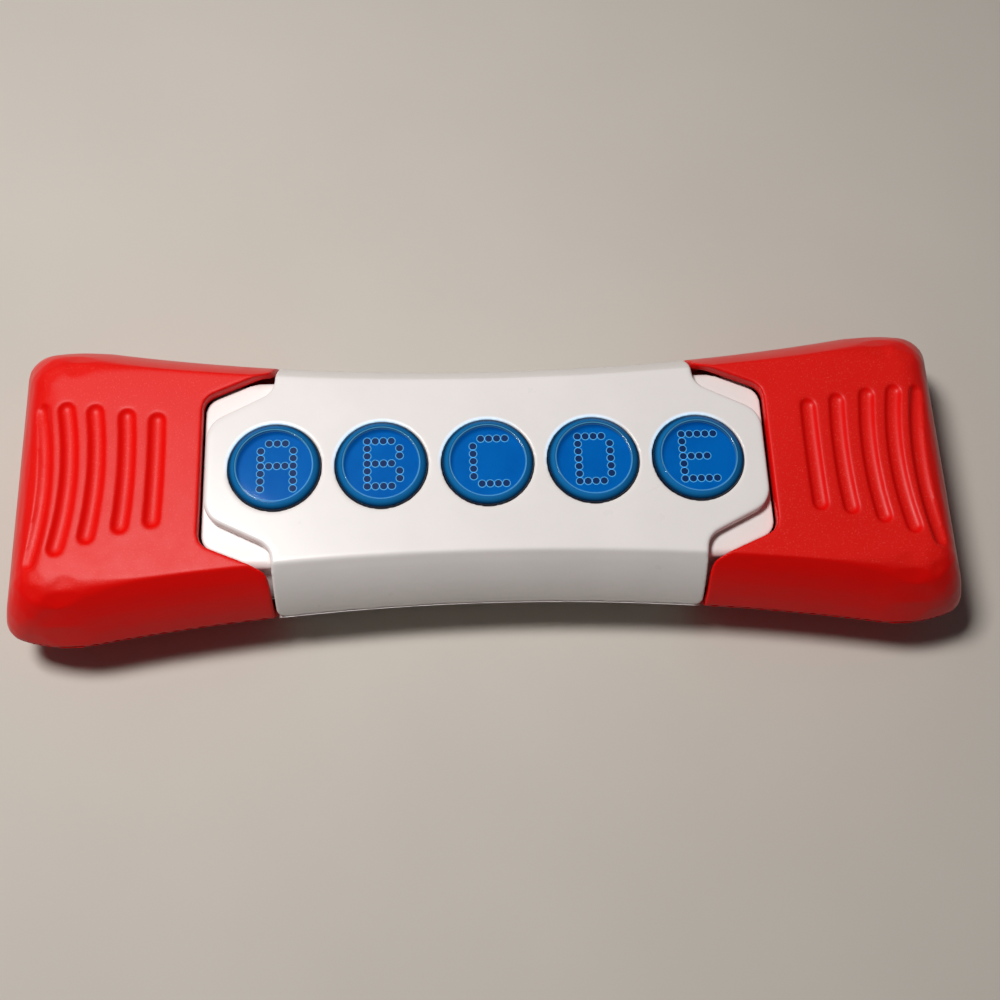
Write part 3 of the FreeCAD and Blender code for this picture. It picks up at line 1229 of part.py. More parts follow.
def lead_shape(points, bend):
    """Round lead along straight runs joined by tangent arcs."""
    edges = []
    start = points[0]
    for index in range(1, len(points) - 1):
        corner = points[index]
        back = (points[index - 1] - corner).normalize()
        ahead = (points[index + 1] - corner).normalize()
        half = back.getAngle(ahead) / 2
        reach = bend / math.tan(half)
        middle = corner + (back + ahead).normalize() * (bend / math.sin(half) - bend)
        entry, leave = corner + back * reach, corner + ahead * reach
        edges.append(Part.LineSegment(start, entry).toShape())
        edges.append(Part.Arc(entry, middle, leave).toShape())
        start = leave
    edges.append(Part.LineSegment(start, points[-1]).toShape())
    radius = size("lead_radius")
    ring = Part.Wire([Part.Circle(points[0], points[1] - points[0], radius).toShape()])
    return Part.Wire(edges).makePipeShell([ring], True, False)


def lead_pair(label, points, bend, shift):
    """Two leads side by side, the second moved by the shift."""
    one = lead_shape([Vector(*point) for point in points], bend)
    pair = Part.makeCompound([one, one.translated(Vector(*shift))])
    return deliver(made(label.title().replace("_", ""), pair), label)


def leads():
    """Leads held between the pieces they join, all inside the case."""
    board = size("mid_height") + size("board_low")
    bend = size("lead_bend")
    x, low = size("speaker_x"), size("speaker_low") + size("speaker_thick")
    lead_pair("speaker_leads", [(x + 2, 1, low), (x + 2, 1, 13), (x - 2, 1, 19), (x - 2, 1, board)], bend,
              (0, 1.6, 0))
    x, low = size("switch_x") + size("switch_travel") / 2, size("switch_top")
    lead_pair("switch_leads", [(x, -1, low), (x, -1, 12), (x - 4, -1, 18), (x - 4, -1, board)], bend,
              (0, 2, 0))
    battery_leads(board)
    level = size("mid_height") + size("sensor_lead_high")
    near = size("sensor_lead_y") - 0.7
    for name, sign in SIDES.items():
        turn_x, rise_x = sign * 65, sign * 58.5
        points = [(sign * size("sensor_start"), near, level), (turn_x, near, level),
                  (rise_x, near, level + 5), (rise_x, near, board)]
        lead_pair(f"{name}_twist_leads", points, bend, (0, 1.4, 0))


def battery_leads(board):
    """One lead from each single contact plate up to the board."""
    start, x, y = size("bay_top") + 1, size("bay_reach") - size("plate_thick") / 2, size("cell_pitch")
    points = [Vector(x, y, start), Vector(x, y, start + 2.5), Vector(x - 3, y, start + 6),
              Vector(x - 3, y, board)]
    pair = [points, [Vector(-point.x, -point.y, point.z) for point in points]]
    shapes = [lead_shape(route, size("short_lead_bend")) for route in pair]
    return deliver(made("BatteryLeads", Part.makeCompound(shapes)), "battery_leads")


# The whole game

top_cover()
bottom_cover()
upper_frame()
lower_frame()
main_board()
board_parts()
for count in range(1, 6):
    letter_button(count)
    button_dome(count)
    display(count)
    backlight(count)
speaker()
power_switch()
switch_slider()
for count in range(1, 4):
    battery(count)
battery_contacts()
battery_springs()
battery_door()
for one_side in SIDES:
    pivot_hub(one_side)
    return_spring(one_side)
    twist_board(one_side)
    twist_switches(one_side)
grips()
leads()
MID = size("mid_height")
screws("case_screws", four("case_screw_x", "case_screw_y"), size("case_head_low"), size("case_screw_top"))
screws("frame_screws", four("frame_screw_x", "frame_screw_y"), MID + size("frame_head_low"),
       MID + size("frame_screw_top"))
screws("board_screws", board_screw_places(), MID + size("board_low") - size("head_thick"),
       MID + size("board_screw_top"))
screws("battery_door_screw", [(size("door_screw_x"), 0)], size("door_screw_low"), size("door_screw_top"))

doc.recompute()
faults = [item.Label for item in doc.Objects if "Invalid" in item.State or "Error" in item.State]
for node in nodes:
    if node.Shape.isNull() or not node.Shape.isValid():
        faults.append(node.Label)
    else:
        print(f"{node.Label}: {len(node.Shape.Solids)} solids, {node.Shape.Volume:.0f} mm3")
if faults:
    raise RuntimeError("faulty: " + ", ".join(sorted(set(faults))))

os.makedirs("parts", exist_ok=True)
for node in nodes:
    node.Shape.exportStep(f"parts/{node.Label}.step")
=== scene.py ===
import json
import math

import bmesh
import bpy
from mathutils import Matrix, Vector


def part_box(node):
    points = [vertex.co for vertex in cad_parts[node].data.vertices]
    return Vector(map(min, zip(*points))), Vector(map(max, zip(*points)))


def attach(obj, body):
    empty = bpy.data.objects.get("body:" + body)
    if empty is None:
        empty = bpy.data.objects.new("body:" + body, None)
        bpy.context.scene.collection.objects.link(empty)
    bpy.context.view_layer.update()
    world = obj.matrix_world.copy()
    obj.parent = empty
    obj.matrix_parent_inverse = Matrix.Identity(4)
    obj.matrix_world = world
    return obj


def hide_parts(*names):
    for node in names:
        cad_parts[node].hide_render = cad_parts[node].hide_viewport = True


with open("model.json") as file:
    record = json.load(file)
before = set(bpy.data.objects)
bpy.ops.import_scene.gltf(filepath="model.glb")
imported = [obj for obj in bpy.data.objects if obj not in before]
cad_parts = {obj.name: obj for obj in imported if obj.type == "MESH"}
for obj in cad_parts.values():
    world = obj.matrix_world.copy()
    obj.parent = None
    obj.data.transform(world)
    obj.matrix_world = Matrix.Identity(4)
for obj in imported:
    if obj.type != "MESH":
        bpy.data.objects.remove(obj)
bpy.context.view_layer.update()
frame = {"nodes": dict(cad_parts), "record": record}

# Electronic word game: a white centre with five blue letter buttons and a twisting red grip
# at each end. X runs along the length, Y away from the player, Z up. Everything is in metres.

NODES = frame["nodes"]
BODIES = frame["record"]["behaviour"]["bodies"]
BODY_OF = {node: body for body, group in BODIES.items() for node in group}
SLOT_OF = {part["node"]: part["material_slot"] for part in frame["record"]["subparts"]}
MM = 0.001
SIDES = ("left", "right")
HALVES = ("top", "bottom")
BUTTONS = range(1, 6)
MIDDLES = [sum(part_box(f"letter_button_{number}"), Vector()) / 2 for number in BUTTONS]
PITCH = MIDDLES[1].x - MIDDLES[0].x
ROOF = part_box("top_cover")[1].z
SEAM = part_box("top_cover")[0].z
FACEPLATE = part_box("display_1")[1].z
NECK_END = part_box("bottom_cover")[1].x

# Radii on a cap: the edge of its dished top, the crest of its rim and the start of its shoulder
DISH, CREST, BROW = 9.5 * MM, 9.68 * MM, 9.95 * MM


def srgb(red, green, blue):
    """Colour given as it shows on screen, 0 to 255, as the linear colour that a shader takes."""
    channels = [value / 255 for value in (red, green, blue)]
    linear = [c / 12.92 if c <= 0.04045 else ((c + 0.055) / 1.055) ** 2.4 for c in channels]
    return (*linear, 1.0)


# Shaders

class Value:
    """One output of a shader node. Arithmetic on it adds Math nodes."""

    def __init__(self, paint, socket):
        self.paint = paint
        self.socket = socket

    def math(self, operation, *values):
        """Math node on these values."""
        return self.paint.node("ShaderNodeMath", {"operation": operation}, dict(enumerate(values)))

    def __add__(self, other):
        return self.math("ADD", self, other)

    __radd__ = __add__

    def __sub__(self, other):
        return self.math("SUBTRACT", self, other)

    def __rsub__(self, other):
        return self.math("SUBTRACT", other, self)

    def __mul__(self, other):
        return self.math("MULTIPLY", self, other)

    __rmul__ = __mul__

    def __truediv__(self, other):
        return self.math("DIVIDE", self, other)

    def __pow__(self, other):
        return self.math("POWER", self, other)

    def nearest(self, most):
        """The nearest whole number, no further from 0 than most."""
        return self.math("MINIMUM", self.math("MAXIMUM", self.math("ROUND", self), -most), most)

    def rise(self, low, high):
        """0 below low, 1 above high and smooth between them."""
        sockets = {"Value": self, "From Min": low, "From Max": high}
        settings = {"interpolation_type": "SMOOTHSTEP"}
        return self.paint.node("ShaderNodeMapRange", settings, sockets)

    def between(self, low, high, soft):
        """1 between low and high, falling to 0 over the soft width on each side."""
        return self.rise(low - soft, low) * (1 - self.rise(high, high + soft))


class Paint:
    """A material whose Principled shader has its constants on its own sockets."""

    def __init__(self, name, **constants):
        self.material = bpy.data.materials.new(name)
        self.material.use_nodes = True
        self.nodes = self.material.node_tree.nodes
        self.links = self.material.node_tree.links
        self.shader = self.nodes["Principled BSDF"]
        for socket, value in constants.items():
            self.shader.inputs[self.spelled(socket)].default_value = value
        self.place = self.node("ShaderNodeTexCoord", {}, {}, out="Object")

    def spelled(self, word):
        """Socket name for a keyword."""
        return word.replace("_", " ").title().replace("Ior", "IOR")

    def node(self, kind, settings, sockets, out=0):
        """New node with its settings made first, then the values or links of its sockets."""
        node = self.nodes.new(kind)
        for name, value in settings.items():
            setattr(node, name, value)
        for name, value in sockets.items():
            if isinstance(value, Value):
                self.links.new(value.socket, node.inputs[name])
            else:
                node.inputs[name].default_value = value
        return Value(self, node.outputs[out])

    def noise(self, size, detail=2.0, roughness=0.5, vector=None):
        """Noise whose features are about size metres across, from 0 to 1."""
        sockets = {"Vector": vector or self.place, "Scale": 1 / size,
                   "Detail": detail, "Roughness": roughness}
        return self.node("ShaderNodeTexNoise", {}, sockets)

    def mix(self, factor, first, second):
        """Colour between two colours."""
        sockets = {0: factor, 6: first, 7: second}
        return self.node("ShaderNodeMix", {"data_type": "RGBA"}, sockets, out=2)

    def clouded(self, colour, tone):
        """Colour with faint, wide clouds that are darker by the share tone."""
        return self.mix(self.noise(18 * MM, 3.0).rise(0.3, 0.7), darker(colour, tone), colour)

    def uneven(self, level, size, detail, amount=0.12):
        """Level that wanders by up to half of amount either way, in patches of about size."""
        return level + amount * (self.noise(size, detail) - 0.5)

    def part(self, vector, axis):
        """One coordinate of a vector."""
        return self.node("ShaderNodeSeparateXYZ", {}, {0: vector}, out=axis)

    def upward(self, low, high):
        """0 on faces steeper than low and 1 on faces flatter than high, by the normal's Z."""
        return self.part(self.node("ShaderNodeTexCoord", {}, {}, out="Normal"), 2).rise(low, high)

    def bump(self, height, depth, strength=1.0):
        """Normal of a surface raised by height times depth metres."""
        sockets = {"Height": height, "Distance": depth, "Strength": strength}
        return self.node("ShaderNodeBump", {}, sockets)

    def feed(self, **sockets):
        """Link values to the Principled shader's sockets, and return the material."""
        for name, value in sockets.items():
            self.links.new(value.socket, self.shader.inputs[self.spelled(name)])
        return self.material


def darker(colour, share):
    """Colour with a share of its light taken away."""
    return tuple(channel * (1 - share) for channel in colour[:3]) + (1.0,)


def moulded(name, colour, roughness, grain=0.8 * MM, depth=0.006 * MM, tone=0.05, **constants):
    """Injection-moulded plastic: faint clouds in the colour, uneven gloss and a fine skin."""
    paint = Paint(name, **constants)
    return paint.feed(base_color=paint.clouded(colour, tone),
                      roughness=paint.uneven(roughness, 6 * MM, 4.0),
                      normal=paint.bump(paint.noise(grain), depth))


def cover_plastic():
    """White plastic of the top cover: satin, with a painted blue caustic glow, made by emission,
    on the far-left rims of its windows.
    """
    paint = Paint("Top cover plastic", ior=1.5, specular_ior_level=0.4, emission_strength=0.55)
    along, across, up = (paint.part(paint.place, axis) for axis in range(3))
    offset = along - (along / PITCH).nearest(len(BUTTONS) // 2) * PITCH
    reach = (offset * offset + across * across) ** 0.5
    near_rim = 1 - reach.rise(12.0 * MM, 13.1 * MM)
    # Painted caustic: a pale blue glow, by emission, on the cover round the far-left rim of each
    # window, where light through the clear caps would fall.
    painted_spill = near_rim * up.rise(ROOF - 0.6 * MM, ROOF - 0.1 * MM)
    far_left = ((across * 0.86 - offset * 0.5) / reach).rise(0.1, 0.95)
    painted_caustic_glow = paint.mix(painted_spill * far_left, (0.0, 0.0, 0.0, 1.0), srgb(120, 205, 255))
    return paint.feed(base_color=paint.clouded(WHITE, 0.03),
                      roughness=paint.uneven(0.3, 6 * MM, 4.0),
                      normal=paint.bump(paint.noise(0.9 * MM), 0.004 * MM),
                      emission_color=painted_caustic_glow)


def red_plastic():
    """Red plastic: sandy grain on what faces up, smoother on the sides. Up-facing faces take a
    paler, pinker tint and pale flecks, which are painted sheen and painted glints over the real
    grain; the sides keep a deeper red.
    """
    paint = Paint("Red plastic", ior=1.5, specular_ior_level=0.18)
    top = paint.upward(0.8, 0.99)
    clouds = paint.noise(22 * MM, 3.0)
    side_tint = paint.mix(clouds, srgb(224, 10, 6), srgb(234, 14, 10))
    # Painted sheen: the up-facing faces are paler and pinker than the sides.
    top_sheen_tint = paint.mix(clouds, srgb(222, 22, 16), srgb(232, 28, 22))
    sand = paint.noise(0.34 * MM, 2.0, 0.6)
    # Painted glints: pale flecks, on the up-facing faces only.
    painted_glints = paint.noise(0.42 * MM, 1.0).rise(0.6, 0.72)
    sand_and_glint_tint = paint.mix(painted_glints * 0.3, top_sheen_tint, srgb(246, 90, 78))
    return paint.feed(base_color=paint.mix(top, side_tint, sand_and_glint_tint),
                      roughness=paint.uneven(0.33 + 0.09 * top, 5 * MM, 3.0),
                      normal=paint.bump(sand * (0.2 + top), 0.03 * MM, 0.8))


def cap_plastic():
    """Clear blue plastic: see-through top, a painted highlight as a pale ring at its rim, and a
    shoulder painted from pale steel-blue to near-black navy outward, which is painted reflection
    and painted shade over the deeper blue of thick plastic.
    """
    paint = Paint("Clear blue plastic", ior=1.49, specular_ior_level=0.25)
    reach = paint.node("ShaderNodeAttribute", {"attribute_name": "reach"}, {}, out="Fac")
    # Painted highlight: a pale ring along the crest of the rim.
    painted_rim_highlight = reach.between(CREST - 0.04 * MM, CREST + 0.12 * MM, 0.2 * MM)
    shoulder = reach.rise(BROW - 0.05 * MM, BROW + 0.15 * MM)
    fall = reach.rise(BROW + 0.45 * MM, BROW + 1.75 * MM)
    top = paint.mix(paint.noise(7 * MM, 2.0), srgb(0, 60, 126), srgb(0, 72, 142))
    # Painted reflection and shade: the shoulder fades from pale steel-blue to near-black navy
    # outward.
    painted_shoulder_shade = paint.mix(fall, srgb(22, 112, 176), srgb(0, 26, 56))
    tint = paint.mix(painted_rim_highlight * 0.7, paint.mix(shoulder, top, painted_shoulder_shade), srgb(104, 190, 236))
    gloss = 0.06 + 0.05 * paint.noise(3 * MM, 3.0)
    return paint.feed(base_color=tint, roughness=gloss, alpha=0.3 + 0.6 * shoulder + 0.35 * painted_rim_highlight)


def display_face():
    """Display glass with a painted glow: its emission, uneven in clouds, stands in for the light
    that reaches it through the cap.
    """
    paint = Paint("Display face", ior=1.5, specular_ior_level=0.1, emission_strength=0.24)
    cloud = paint.noise(9 * MM, 2.0)
    tint = paint.mix(cloud.rise(0.3, 0.7), srgb(0, 128, 232), srgb(2, 142, 244))
    # Painted glow: the face emits its own blue.
    return paint.feed(base_color=tint, emission_color=tint, roughness=0.25 + 0.1 * cloud)


def metal(name, colour, roughness, grain):
    """Plated metal with fine drawn scratches."""
    paint = Paint(name, metallic=1.0)
    drawn = {"Vector": paint.place, "Scale": (1.0, 0.08, 1.0)}
    scratches = paint.noise(grain, 3.0, 0.6, paint.node("ShaderNodeMapping", {}, drawn))
    tint = paint.mix(paint.noise(4 * MM, 2.0), darker(colour, 0.18), colour)
    return paint.feed(base_color=tint, roughness=roughness + 0.18 * (scratches - 0.5),
                      normal=paint.bump(scratches, 0.004 * MM))


def board_lacquer():
    """Green lacquer over copper tracks."""
    paint = Paint("Board lacquer", ior=1.5)
    sockets = {"Vector": paint.place, "Scale": 240.0, "Mortar Size": 0.06}
    tracks = paint.node("ShaderNodeTexBrick", {"offset": 0.5}, sockets, out="Fac")
    tint = paint.mix(tracks * 0.6, srgb(18, 92, 44), srgb(44, 128, 66))
    return paint.feed(base_color=tint, roughness=0.28 + 0.1 * tracks,
                      normal=paint.bump(tracks, 0.03 * MM))


def cell_jacket():
    """Printed sleeve of a cell: dark body and a copper-coloured band at one end."""
    paint = Paint("Cell jacket", ior=1.5, coat_weight=0.4, coat_roughness=0.1)
    band = paint.part(paint.place, 0).rise(13 * MM, 13.4 * MM)
    tint = paint.mix(band, srgb(34, 36, 40), srgb(196, 120, 62))
    return paint.feed(base_color=tint, roughness=0.25 + 0.1 * paint.noise(4 * MM))


def floor_paper():
    """Matt, pale warm grey floor with faint clouds."""
    paint = Paint("Floor paper", roughness=0.9)
    tint = paint.mix(paint.noise(60 * MM, 3.0), srgb(199, 192, 183), srgb(207, 200, 191))
    return paint.feed(base_color=tint)


WHITE = srgb(238, 232, 230)
FINISHES = {
    "white_shell": moulded("White shell", WHITE, 0.32, tone=0.03, ior=1.5,
                           coat_weight=0.1, coat_roughness=0.15),
    "white_frame": moulded("White frame", srgb(240, 233, 231), 0.38, tone=0.03),
    "red_shell": red_plastic(),
    "blue_cap": cap_plastic(),
    "display_glass": display_face(),
    "light_guide": moulded("Light guide", srgb(150, 200, 232), 0.3),
    "silicone": moulded("Silicone", srgb(206, 208, 204), 0.6, grain=0.5 * MM),
    "circuit_board": board_lacquer(),
    "black_parts": moulded("Black mouldings", srgb(30, 30, 32), 0.45),
    "slider_black": moulded("Slider plastic", srgb(34, 34, 36), 0.4,
                            grain=0.4 * MM, depth=0.015 * MM),
    "speaker_black": moulded("Speaker cone", srgb(44, 44, 48), 0.7,
                             grain=0.3 * MM, depth=0.03 * MM),
    "cell_jacket": cell_jacket(),
    "contact_metal": metal("Plated contacts", (0.76, 0.74, 0.68, 1.0), 0.28, 0.6 * MM),
    "spring_steel": metal("Spring wire", (0.62, 0.62, 0.62, 1.0), 0.3, 0.4 * MM),
    "screw_steel": metal("Screw steel", (0.6, 0.6, 0.61, 1.0), 0.32, 0.4 * MM),
    "hub_plastic": moulded("Hub plastic", srgb(214, 212, 206), 0.42),
    "lead_sleeve": moulded("Lead sleeve", srgb(150, 26, 24), 0.5, grain=0.5 * MM),
}
COVER_FINISH = cover_plastic()
# Dark dot ink; its faint emission is a painted glow.
DOT_INK = moulded("Dot ink", srgb(0, 8, 48), 0.5,
                  emission_color=srgb(0, 30, 110), emission_strength=0.1)
# Pale halo round each dot, made to glow by emission: painted glow.
DOT_HALO_GLOW = moulded("Dot halo glow", srgb(120, 215, 255), 0.5,
                  emission_color=srgb(96, 196, 244), emission_strength=0.9)


# Meshes

def add_object(name, mesh, material):
    """Object at the origin that shows a mesh in one material."""
    item = bpy.data.objects.new(name, mesh)
    bpy.context.scene.collection.objects.link(item)
    mesh.materials.clear()
    mesh.materials.append(material)
    return item


def settle(item):
    """Turn an object's live modifiers into its plain mesh."""
    bpy.context.view_layer.update()
    evaluated = item.evaluated_get(bpy.context.evaluated_depsgraph_get())
    item.data = bpy.data.meshes.new_from_object(evaluated)
    item.modifiers.clear()


def stand_for(item, node):
    """Ride on a CAD node's body and stand in for that node, which is hidden."""
    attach(item, BODY_OF[node])
    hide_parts(node)


CELL = 0.42 * MM
EASING_PASSES = 10
MOST_TRIANGLES = 190_000


def even_mould(node, softness, finish):
    """A CAD piece meshed evenly and eased, so that its edges turn over as a mould leaves them.

    softness(place) gives the share of the easing there, from 0 to 1.
    """
    shape = bmesh.new()
    shape.from_mesh(NODES[node].data)
    bmesh.ops.remove_doubles(shape, verts=shape.verts, dist=0.002 * MM)
    mesh = bpy.data.meshes.new(node + "_moulded")
    shape.to_mesh(mesh)
    shape.free()
    item = add_object(node + "_moulded", mesh, finish)
    even = item.modifiers.new("Even mesh", "REMESH")
    even.mode = "VOXEL"
    even.voxel_size = CELL
    settle(item)
    places = {}
    for vertex in item.data.vertices:
        places.setdefault(softness(vertex.co), []).append(vertex.index)
    group = item.vertex_groups.new(name="Easing")
    for share, members in places.items():
        group.add(members, share, "REPLACE")
    easing = item.modifiers.new("Easing", "SMOOTH")
    easing.factor = 0.5
    easing.iterations = EASING_PASSES
    easing.vertex_group = "Easing"
    thinning = item.modifiers.new("Thinning", "DECIMATE")
    thinning.ratio = min(1.0, MOST_TRIANGLES / (2 * len(item.data.polygons)))
    settle(item)
    item.vertex_groups.clear()
    item.data.polygons.foreach_set("use_smooth", [True] * len(item.data.polygons))
    item.data.materials.clear()
    item.data.materials.append(finish)
    stand_for(item, node)


def lathe(name, profile, centre, material, steps=128):
    """Closed solid turned about the upright line through centre.

    profile is a list of (radius, height) from axis to axis.
    """
    shape = bmesh.new()
    rings = []
    for radius, height in profile:
        if radius == 0:
            rings.append([shape.verts.new((centre.x, centre.y, height))])
            continue
        angles = [2 * math.pi * step / steps for step in range(steps)]
        rings.append([shape.verts.new((centre.x + radius * math.cos(angle),
                                       centre.y + radius * math.sin(angle), height))
                      for angle in angles])
    for first, second in zip(rings, rings[1:]):
        for step in range(steps):
            after = (step + 1) % steps
            corners = [first[step % len(first)], first[after % len(first)],
                       second[after % len(second)], second[step % len(second)]]
            shape.faces.new(list(dict.fromkeys(corners)))
    bmesh.ops.recalc_face_normals(shape, faces=shape.faces)
    mesh = bpy.data.meshes.new(name)
    shape.to_mesh(mesh)
    shape.free()
    reach = mesh.attributes.new("reach", "FLOAT", "POINT")
    distances = [(Vector(vertex.co.xy) - centre.xy).length for vertex in mesh.vertices]
    reach.data.foreach_set("value", distances)
    mesh.polygons.foreach_set("use_smooth", [True] * len(mesh.polygons))
    mesh.set_sharp_from_angle(angle=math.radians(40))
    return add_object(name, mesh, material)


def rounded_profile(corners, steps=5):
    """Profile points with an arc at each (radius, height, rounding) corner."""
    points = []
    for index, (reach, height, rounding) in enumerate(corners):
        corner = Vector((reach, height))
        if not rounding or index in (0, len(corners) - 1):
            points.append(corner)
            continue
        back = (Vector(corners[index - 1][:2]) - corner).normalized()
        ahead = (Vector(corners[index + 1][:2]) - corner).normalized()
        half = back.angle(ahead) / 2
        start = corner + back * rounding / math.tan(half)
        end = corner + ahead * rounding / math.tan(half)
        middle = corner + (back + ahead).normalized() * rounding / math.sin(half)
        for step in range(steps + 1):
            spot = start.lerp(end, step / steps) - middle
            points.append(middle + spot.normalized() * rounding)
    return [tuple(point) for point in points]


# Letter buttons

def letter_cap(number):
    """Blue cap: dished top with a fine rim, a sloped shoulder and a skirt with a flange."""
    node = f"letter_button_{number}"
    low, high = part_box(node)
    top, foot, flange = high.z, low.z, (high.x - low.x) / 2
    dish_floor, ceiling = top - 0.06 * MM, top - 1.2 * MM
    skirt = flange - 1.0 * MM
    inside = skirt - 1.3 * MM
    flange_top, flange_foot = foot + 1.6 * MM, foot + 0.6 * MM
    corners = [(0, dish_floor, 0), (DISH, dish_floor, 0.1 * MM), (CREST, top, 0.08 * MM),
               (BROW, top, 0.12 * MM), (skirt - 0.12 * MM, top - 1.15 * MM, 0.22 * MM),
               (skirt, top - 1.6 * MM, 0.2 * MM), (skirt, flange_top, 0),
               (flange, flange_top, 0.1 * MM), (flange, flange_foot, 0.1 * MM),
               (skirt, flange_foot, 0), (skirt, foot, 0.1 * MM), (inside, foot, 0.1 * MM),
               (inside, ceiling, 0.3 * MM), (0, ceiling, 0)]
    profile = rounded_profile(corners)
    stand_for(lathe(f"cap_{number}", profile, MIDDLES[number - 1], FINISHES["blue_cap"]), node)


# Rows of a 5 by 7 dot letter, from the top
DOT_LETTERS = (
    (".###.", "#...#", "#...#", "#####", "#...#", "#...#", "#...#"),
    ("####.", "#...#", "#...#", "####.", "#...#", "#...#", "####."),
    (".####", "#....", "#....", "#....", "#....", "#....", ".####"),
    ("####.", "#...#", "#...#", "#...#", "#...#", "#...#", "####."),
    ("#####", "#....", "#....", "####.", "#....", "#....", "#####"),
)
MIDDLE_COLUMN, MIDDLE_ROW = 2, 3
DOT_PITCH = 2.06 * MM
DOT_SHIFT = Vector((0.45, 0.7)) * MM
DOT_SIDES = 24


def dot_tree():
    """Tree that stands a flat round dot on every point, joins the dots and colours them."""
    tree = bpy.data.node_groups.new("Letter dots", "GeometryNodeTree")
    sockets = {}
    for name, kind in (("Points", "Geometry"), ("Dot radius", "Float"),
                       ("Dot thickness", "Float"), ("Dot sides", "Int"),
                       ("Dot material", "Material")):
        sockets[name] = tree.interface.new_socket(name, in_out="INPUT",
                                                  socket_type="NodeSocket" + kind)
    tree.interface.new_socket("Dots", in_out="OUTPUT", socket_type="NodeSocketGeometry")
    given = tree.nodes.new("NodeGroupInput")
    disc = tree.nodes.new("GeometryNodeMeshCylinder")
    spread = tree.nodes.new("GeometryNodeInstanceOnPoints")
    joined = tree.nodes.new("GeometryNodeRealizeInstances")
    coloured = tree.nodes.new("GeometryNodeSetMaterial")
    result = tree.nodes.new("NodeGroupOutput")
    for start, outlet, finish, inlet in (
            (given, "Dot radius", disc, "Radius"), (given, "Dot thickness", disc, "Depth"),
            (given, "Dot sides", disc, "Vertices"), (given, "Points", spread, "Points"),
            (disc, "Mesh", spread, "Instance"), (spread, "Instances", joined, "Geometry"),
            (joined, "Geometry", coloured, "Geometry"),
            (given, "Dot material", coloured, "Material"),
            (coloured, "Geometry", result, "Dots")):
        tree.links.new(start.outputs[outlet], finish.inputs[inlet])
    return tree, {name: socket.identifier for name, socket in sockets.items()}


def letter_dots(number, tree, inputs, name, radius, thickness, material):
    """One letter's dots in one material, lying on the display's face."""
    start = MIDDLES[number - 1].xy + DOT_SHIFT
    height = FACEPLATE + thickness / 2
    points = [(start.x + (column - MIDDLE_COLUMN) * DOT_PITCH,
               start.y + (MIDDLE_ROW - row) * DOT_PITCH, height)
              for row, line in enumerate(DOT_LETTERS[number - 1])
              for column, mark in enumerate(line) if mark == "#"]
    mesh = bpy.data.meshes.new(f"{name}_{number}")
    mesh.from_pydata(points, [], [])
    item = add_object(f"{name}_{number}", mesh, material)
    dots = item.modifiers.new("Dots", "NODES")
    dots.node_group = tree
    for socket, value in (("Dot radius", radius), ("Dot thickness", thickness),
                          ("Dot sides", DOT_SIDES), ("Dot material", material)):
        dots[inputs[socket]] = value
    settle(item)
    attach(item, BODY_OF[f"display_{number}"])


# Shells

SEAM_EASING, WINDOW_EASING, LEDGE_EASING = 0.25, 0.4, 0.15
SEAM_REACH = 1.2 * MM
NECK_REACH, NECK_SIDE = 3 * MM, 27 * MM
WINDOWS_END, WINDOWS_SIDE = MIDDLES[-1].x + 13.5 * MM, 14 * MM


def near_seam(spot):
    """Whether a place lies on the parting line, or where the grips meet the covers' sides."""
    on_parting_line = abs(spot.z - SEAM) < SEAM_REACH
    at_neck_end = abs(abs(spot.x) - NECK_END) < NECK_REACH
    return on_parting_line or (abs(spot.y) > NECK_SIDE and at_neck_end)


def shell_softness(spot):
    """Full easing on the outside, little of it along the seams."""
    return SEAM_EASING if near_seam(spot) else 1.0


def cover_softness(spot):
    """Full easing round the tongues, less at the windows and along the seams."""
    if near_seam(spot):
        return SEAM_EASING
    past_windows = abs(spot.x) > WINDOWS_END or abs(spot.y) > WINDOWS_SIDE
    return 1.0 if past_windows else WINDOW_EASING


def ledge_softness(spot):
    """Little easing everywhere, so that the ledge stays close to the mouth's wall."""
    return LEDGE_EASING


def finish_nodes():
    """Give every CAD node its finish."""
    for node, item in NODES.items():
        for entry in item.material_slots:
            entry.material = FINISHES[SLOT_OF[node]]


# Camera, light and stage

CAMERA_PLACE = Vector((-11.05, -125.49, 338.06)) * MM
CAMERA_TILT, CAMERA_YAW, CAMERA_ROLL = 20.735, -6.812, 4.904
LENS = 46.8
LAMP_PLACE, LAMP_AIM = (-0.21, 0.085, 0.60), (0.0, -0.04, 0.0)
LAMP_SIZE, LAMP_POWER, LAMP_COLOUR = 0.15, 3.65, (1.0, 0.985, 0.965)
SKY_COLOUR, SKY_STRENGTH = (0.96, 0.98, 1.0, 1.0), 0.045
FLOOR_SIZE = 3.0


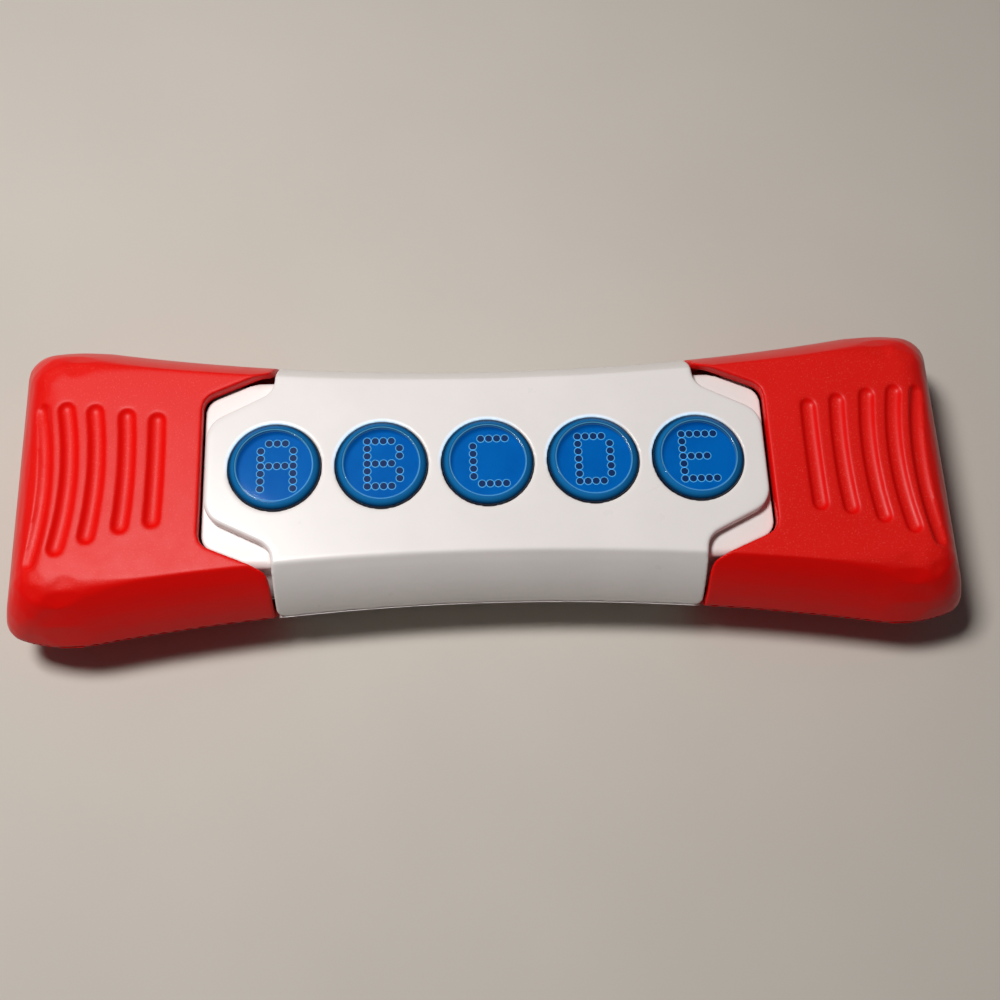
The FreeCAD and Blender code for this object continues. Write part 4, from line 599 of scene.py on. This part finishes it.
def camera():
    """Camera at the photograph's place: leaning out over the near side, turned and rolled."""
    tilt, yaw, roll = (math.radians(turn) for turn in (CAMERA_TILT, CAMERA_YAW, CAMERA_ROLL))
    lens = bpy.data.cameras.new("Camera")
    lens.sensor_width = 36
    lens.lens = LENS
    turned = Matrix.Rotation(yaw, 3, "Z")
    forward = turned @ Vector((0, math.sin(tilt), -math.cos(tilt)))
    up = turned @ Vector((0, math.cos(tilt), math.sin(tilt)))
    right = turned @ Vector((1, 0, 0))
    side = right * math.cos(roll) + up * math.sin(roll)
    top = up * math.cos(roll) - right * math.sin(roll)
    item = bpy.data.objects.new("Camera", lens)
    pose = Matrix((side, top, -forward)).transposed().to_4x4()
    pose.translation = CAMERA_PLACE
    item.matrix_world = pose
    bpy.context.scene.collection.objects.link(item)
    bpy.context.scene.camera = item


def overhead_lamp():
    """Square lamp above the object, a little to the left and behind it."""
    lamp = bpy.data.lights.new("Overhead lamp", "AREA")
    lamp.shape = "SQUARE"
    lamp.size = LAMP_SIZE
    lamp.energy = LAMP_POWER
    lamp.color = LAMP_COLOUR
    item = bpy.data.objects.new("Overhead lamp", lamp)
    item.location = LAMP_PLACE
    aim = Vector(LAMP_AIM) - Vector(LAMP_PLACE)
    item.rotation_euler = aim.to_track_quat("-Z", "Y").to_euler()
    bpy.context.scene.collection.objects.link(item)


def studio():
    """The lamp, in a dim even sky over a pale floor."""
    overhead_lamp()
    world = bpy.data.worlds.new("Sky")
    world.use_nodes = True
    sky = world.node_tree.nodes["Background"].inputs
    sky["Color"].default_value = SKY_COLOUR
    sky["Strength"].default_value = SKY_STRENGTH
    bpy.context.scene.world = world
    shape = bmesh.new()
    bmesh.ops.create_grid(shape, x_segments=1, y_segments=1, size=FLOOR_SIZE)
    mesh = bpy.data.meshes.new("Floor")
    shape.to_mesh(mesh)
    shape.free()
    add_object("Floor", mesh, floor_paper())


# The whole game

camera()
studio()
finish_nodes()
tree, inputs = dot_tree()
for button in BUTTONS:
    letter_cap(button)
    # Each dot stands on a pale halo that glows by emission: painted glow.
    letter_dots(button, tree, inputs, "dot_halo_glows", 1.08 * MM, 0.05 * MM, DOT_HALO_GLOW)
    letter_dots(button, tree, inputs, "dots", 0.89 * MM, 0.1 * MM, DOT_INK)
even_mould("top_cover", cover_softness, COVER_FINISH)
even_mould("upper_frame", ledge_softness, FINISHES["white_frame"])
for side in SIDES:
    for half in HALVES:
        even_mould(f"{side}_grip_{half}", shell_softness, FINISHES["red_shell"])

scene = bpy.context.scene
scene.view_settings.view_transform = "Standard"
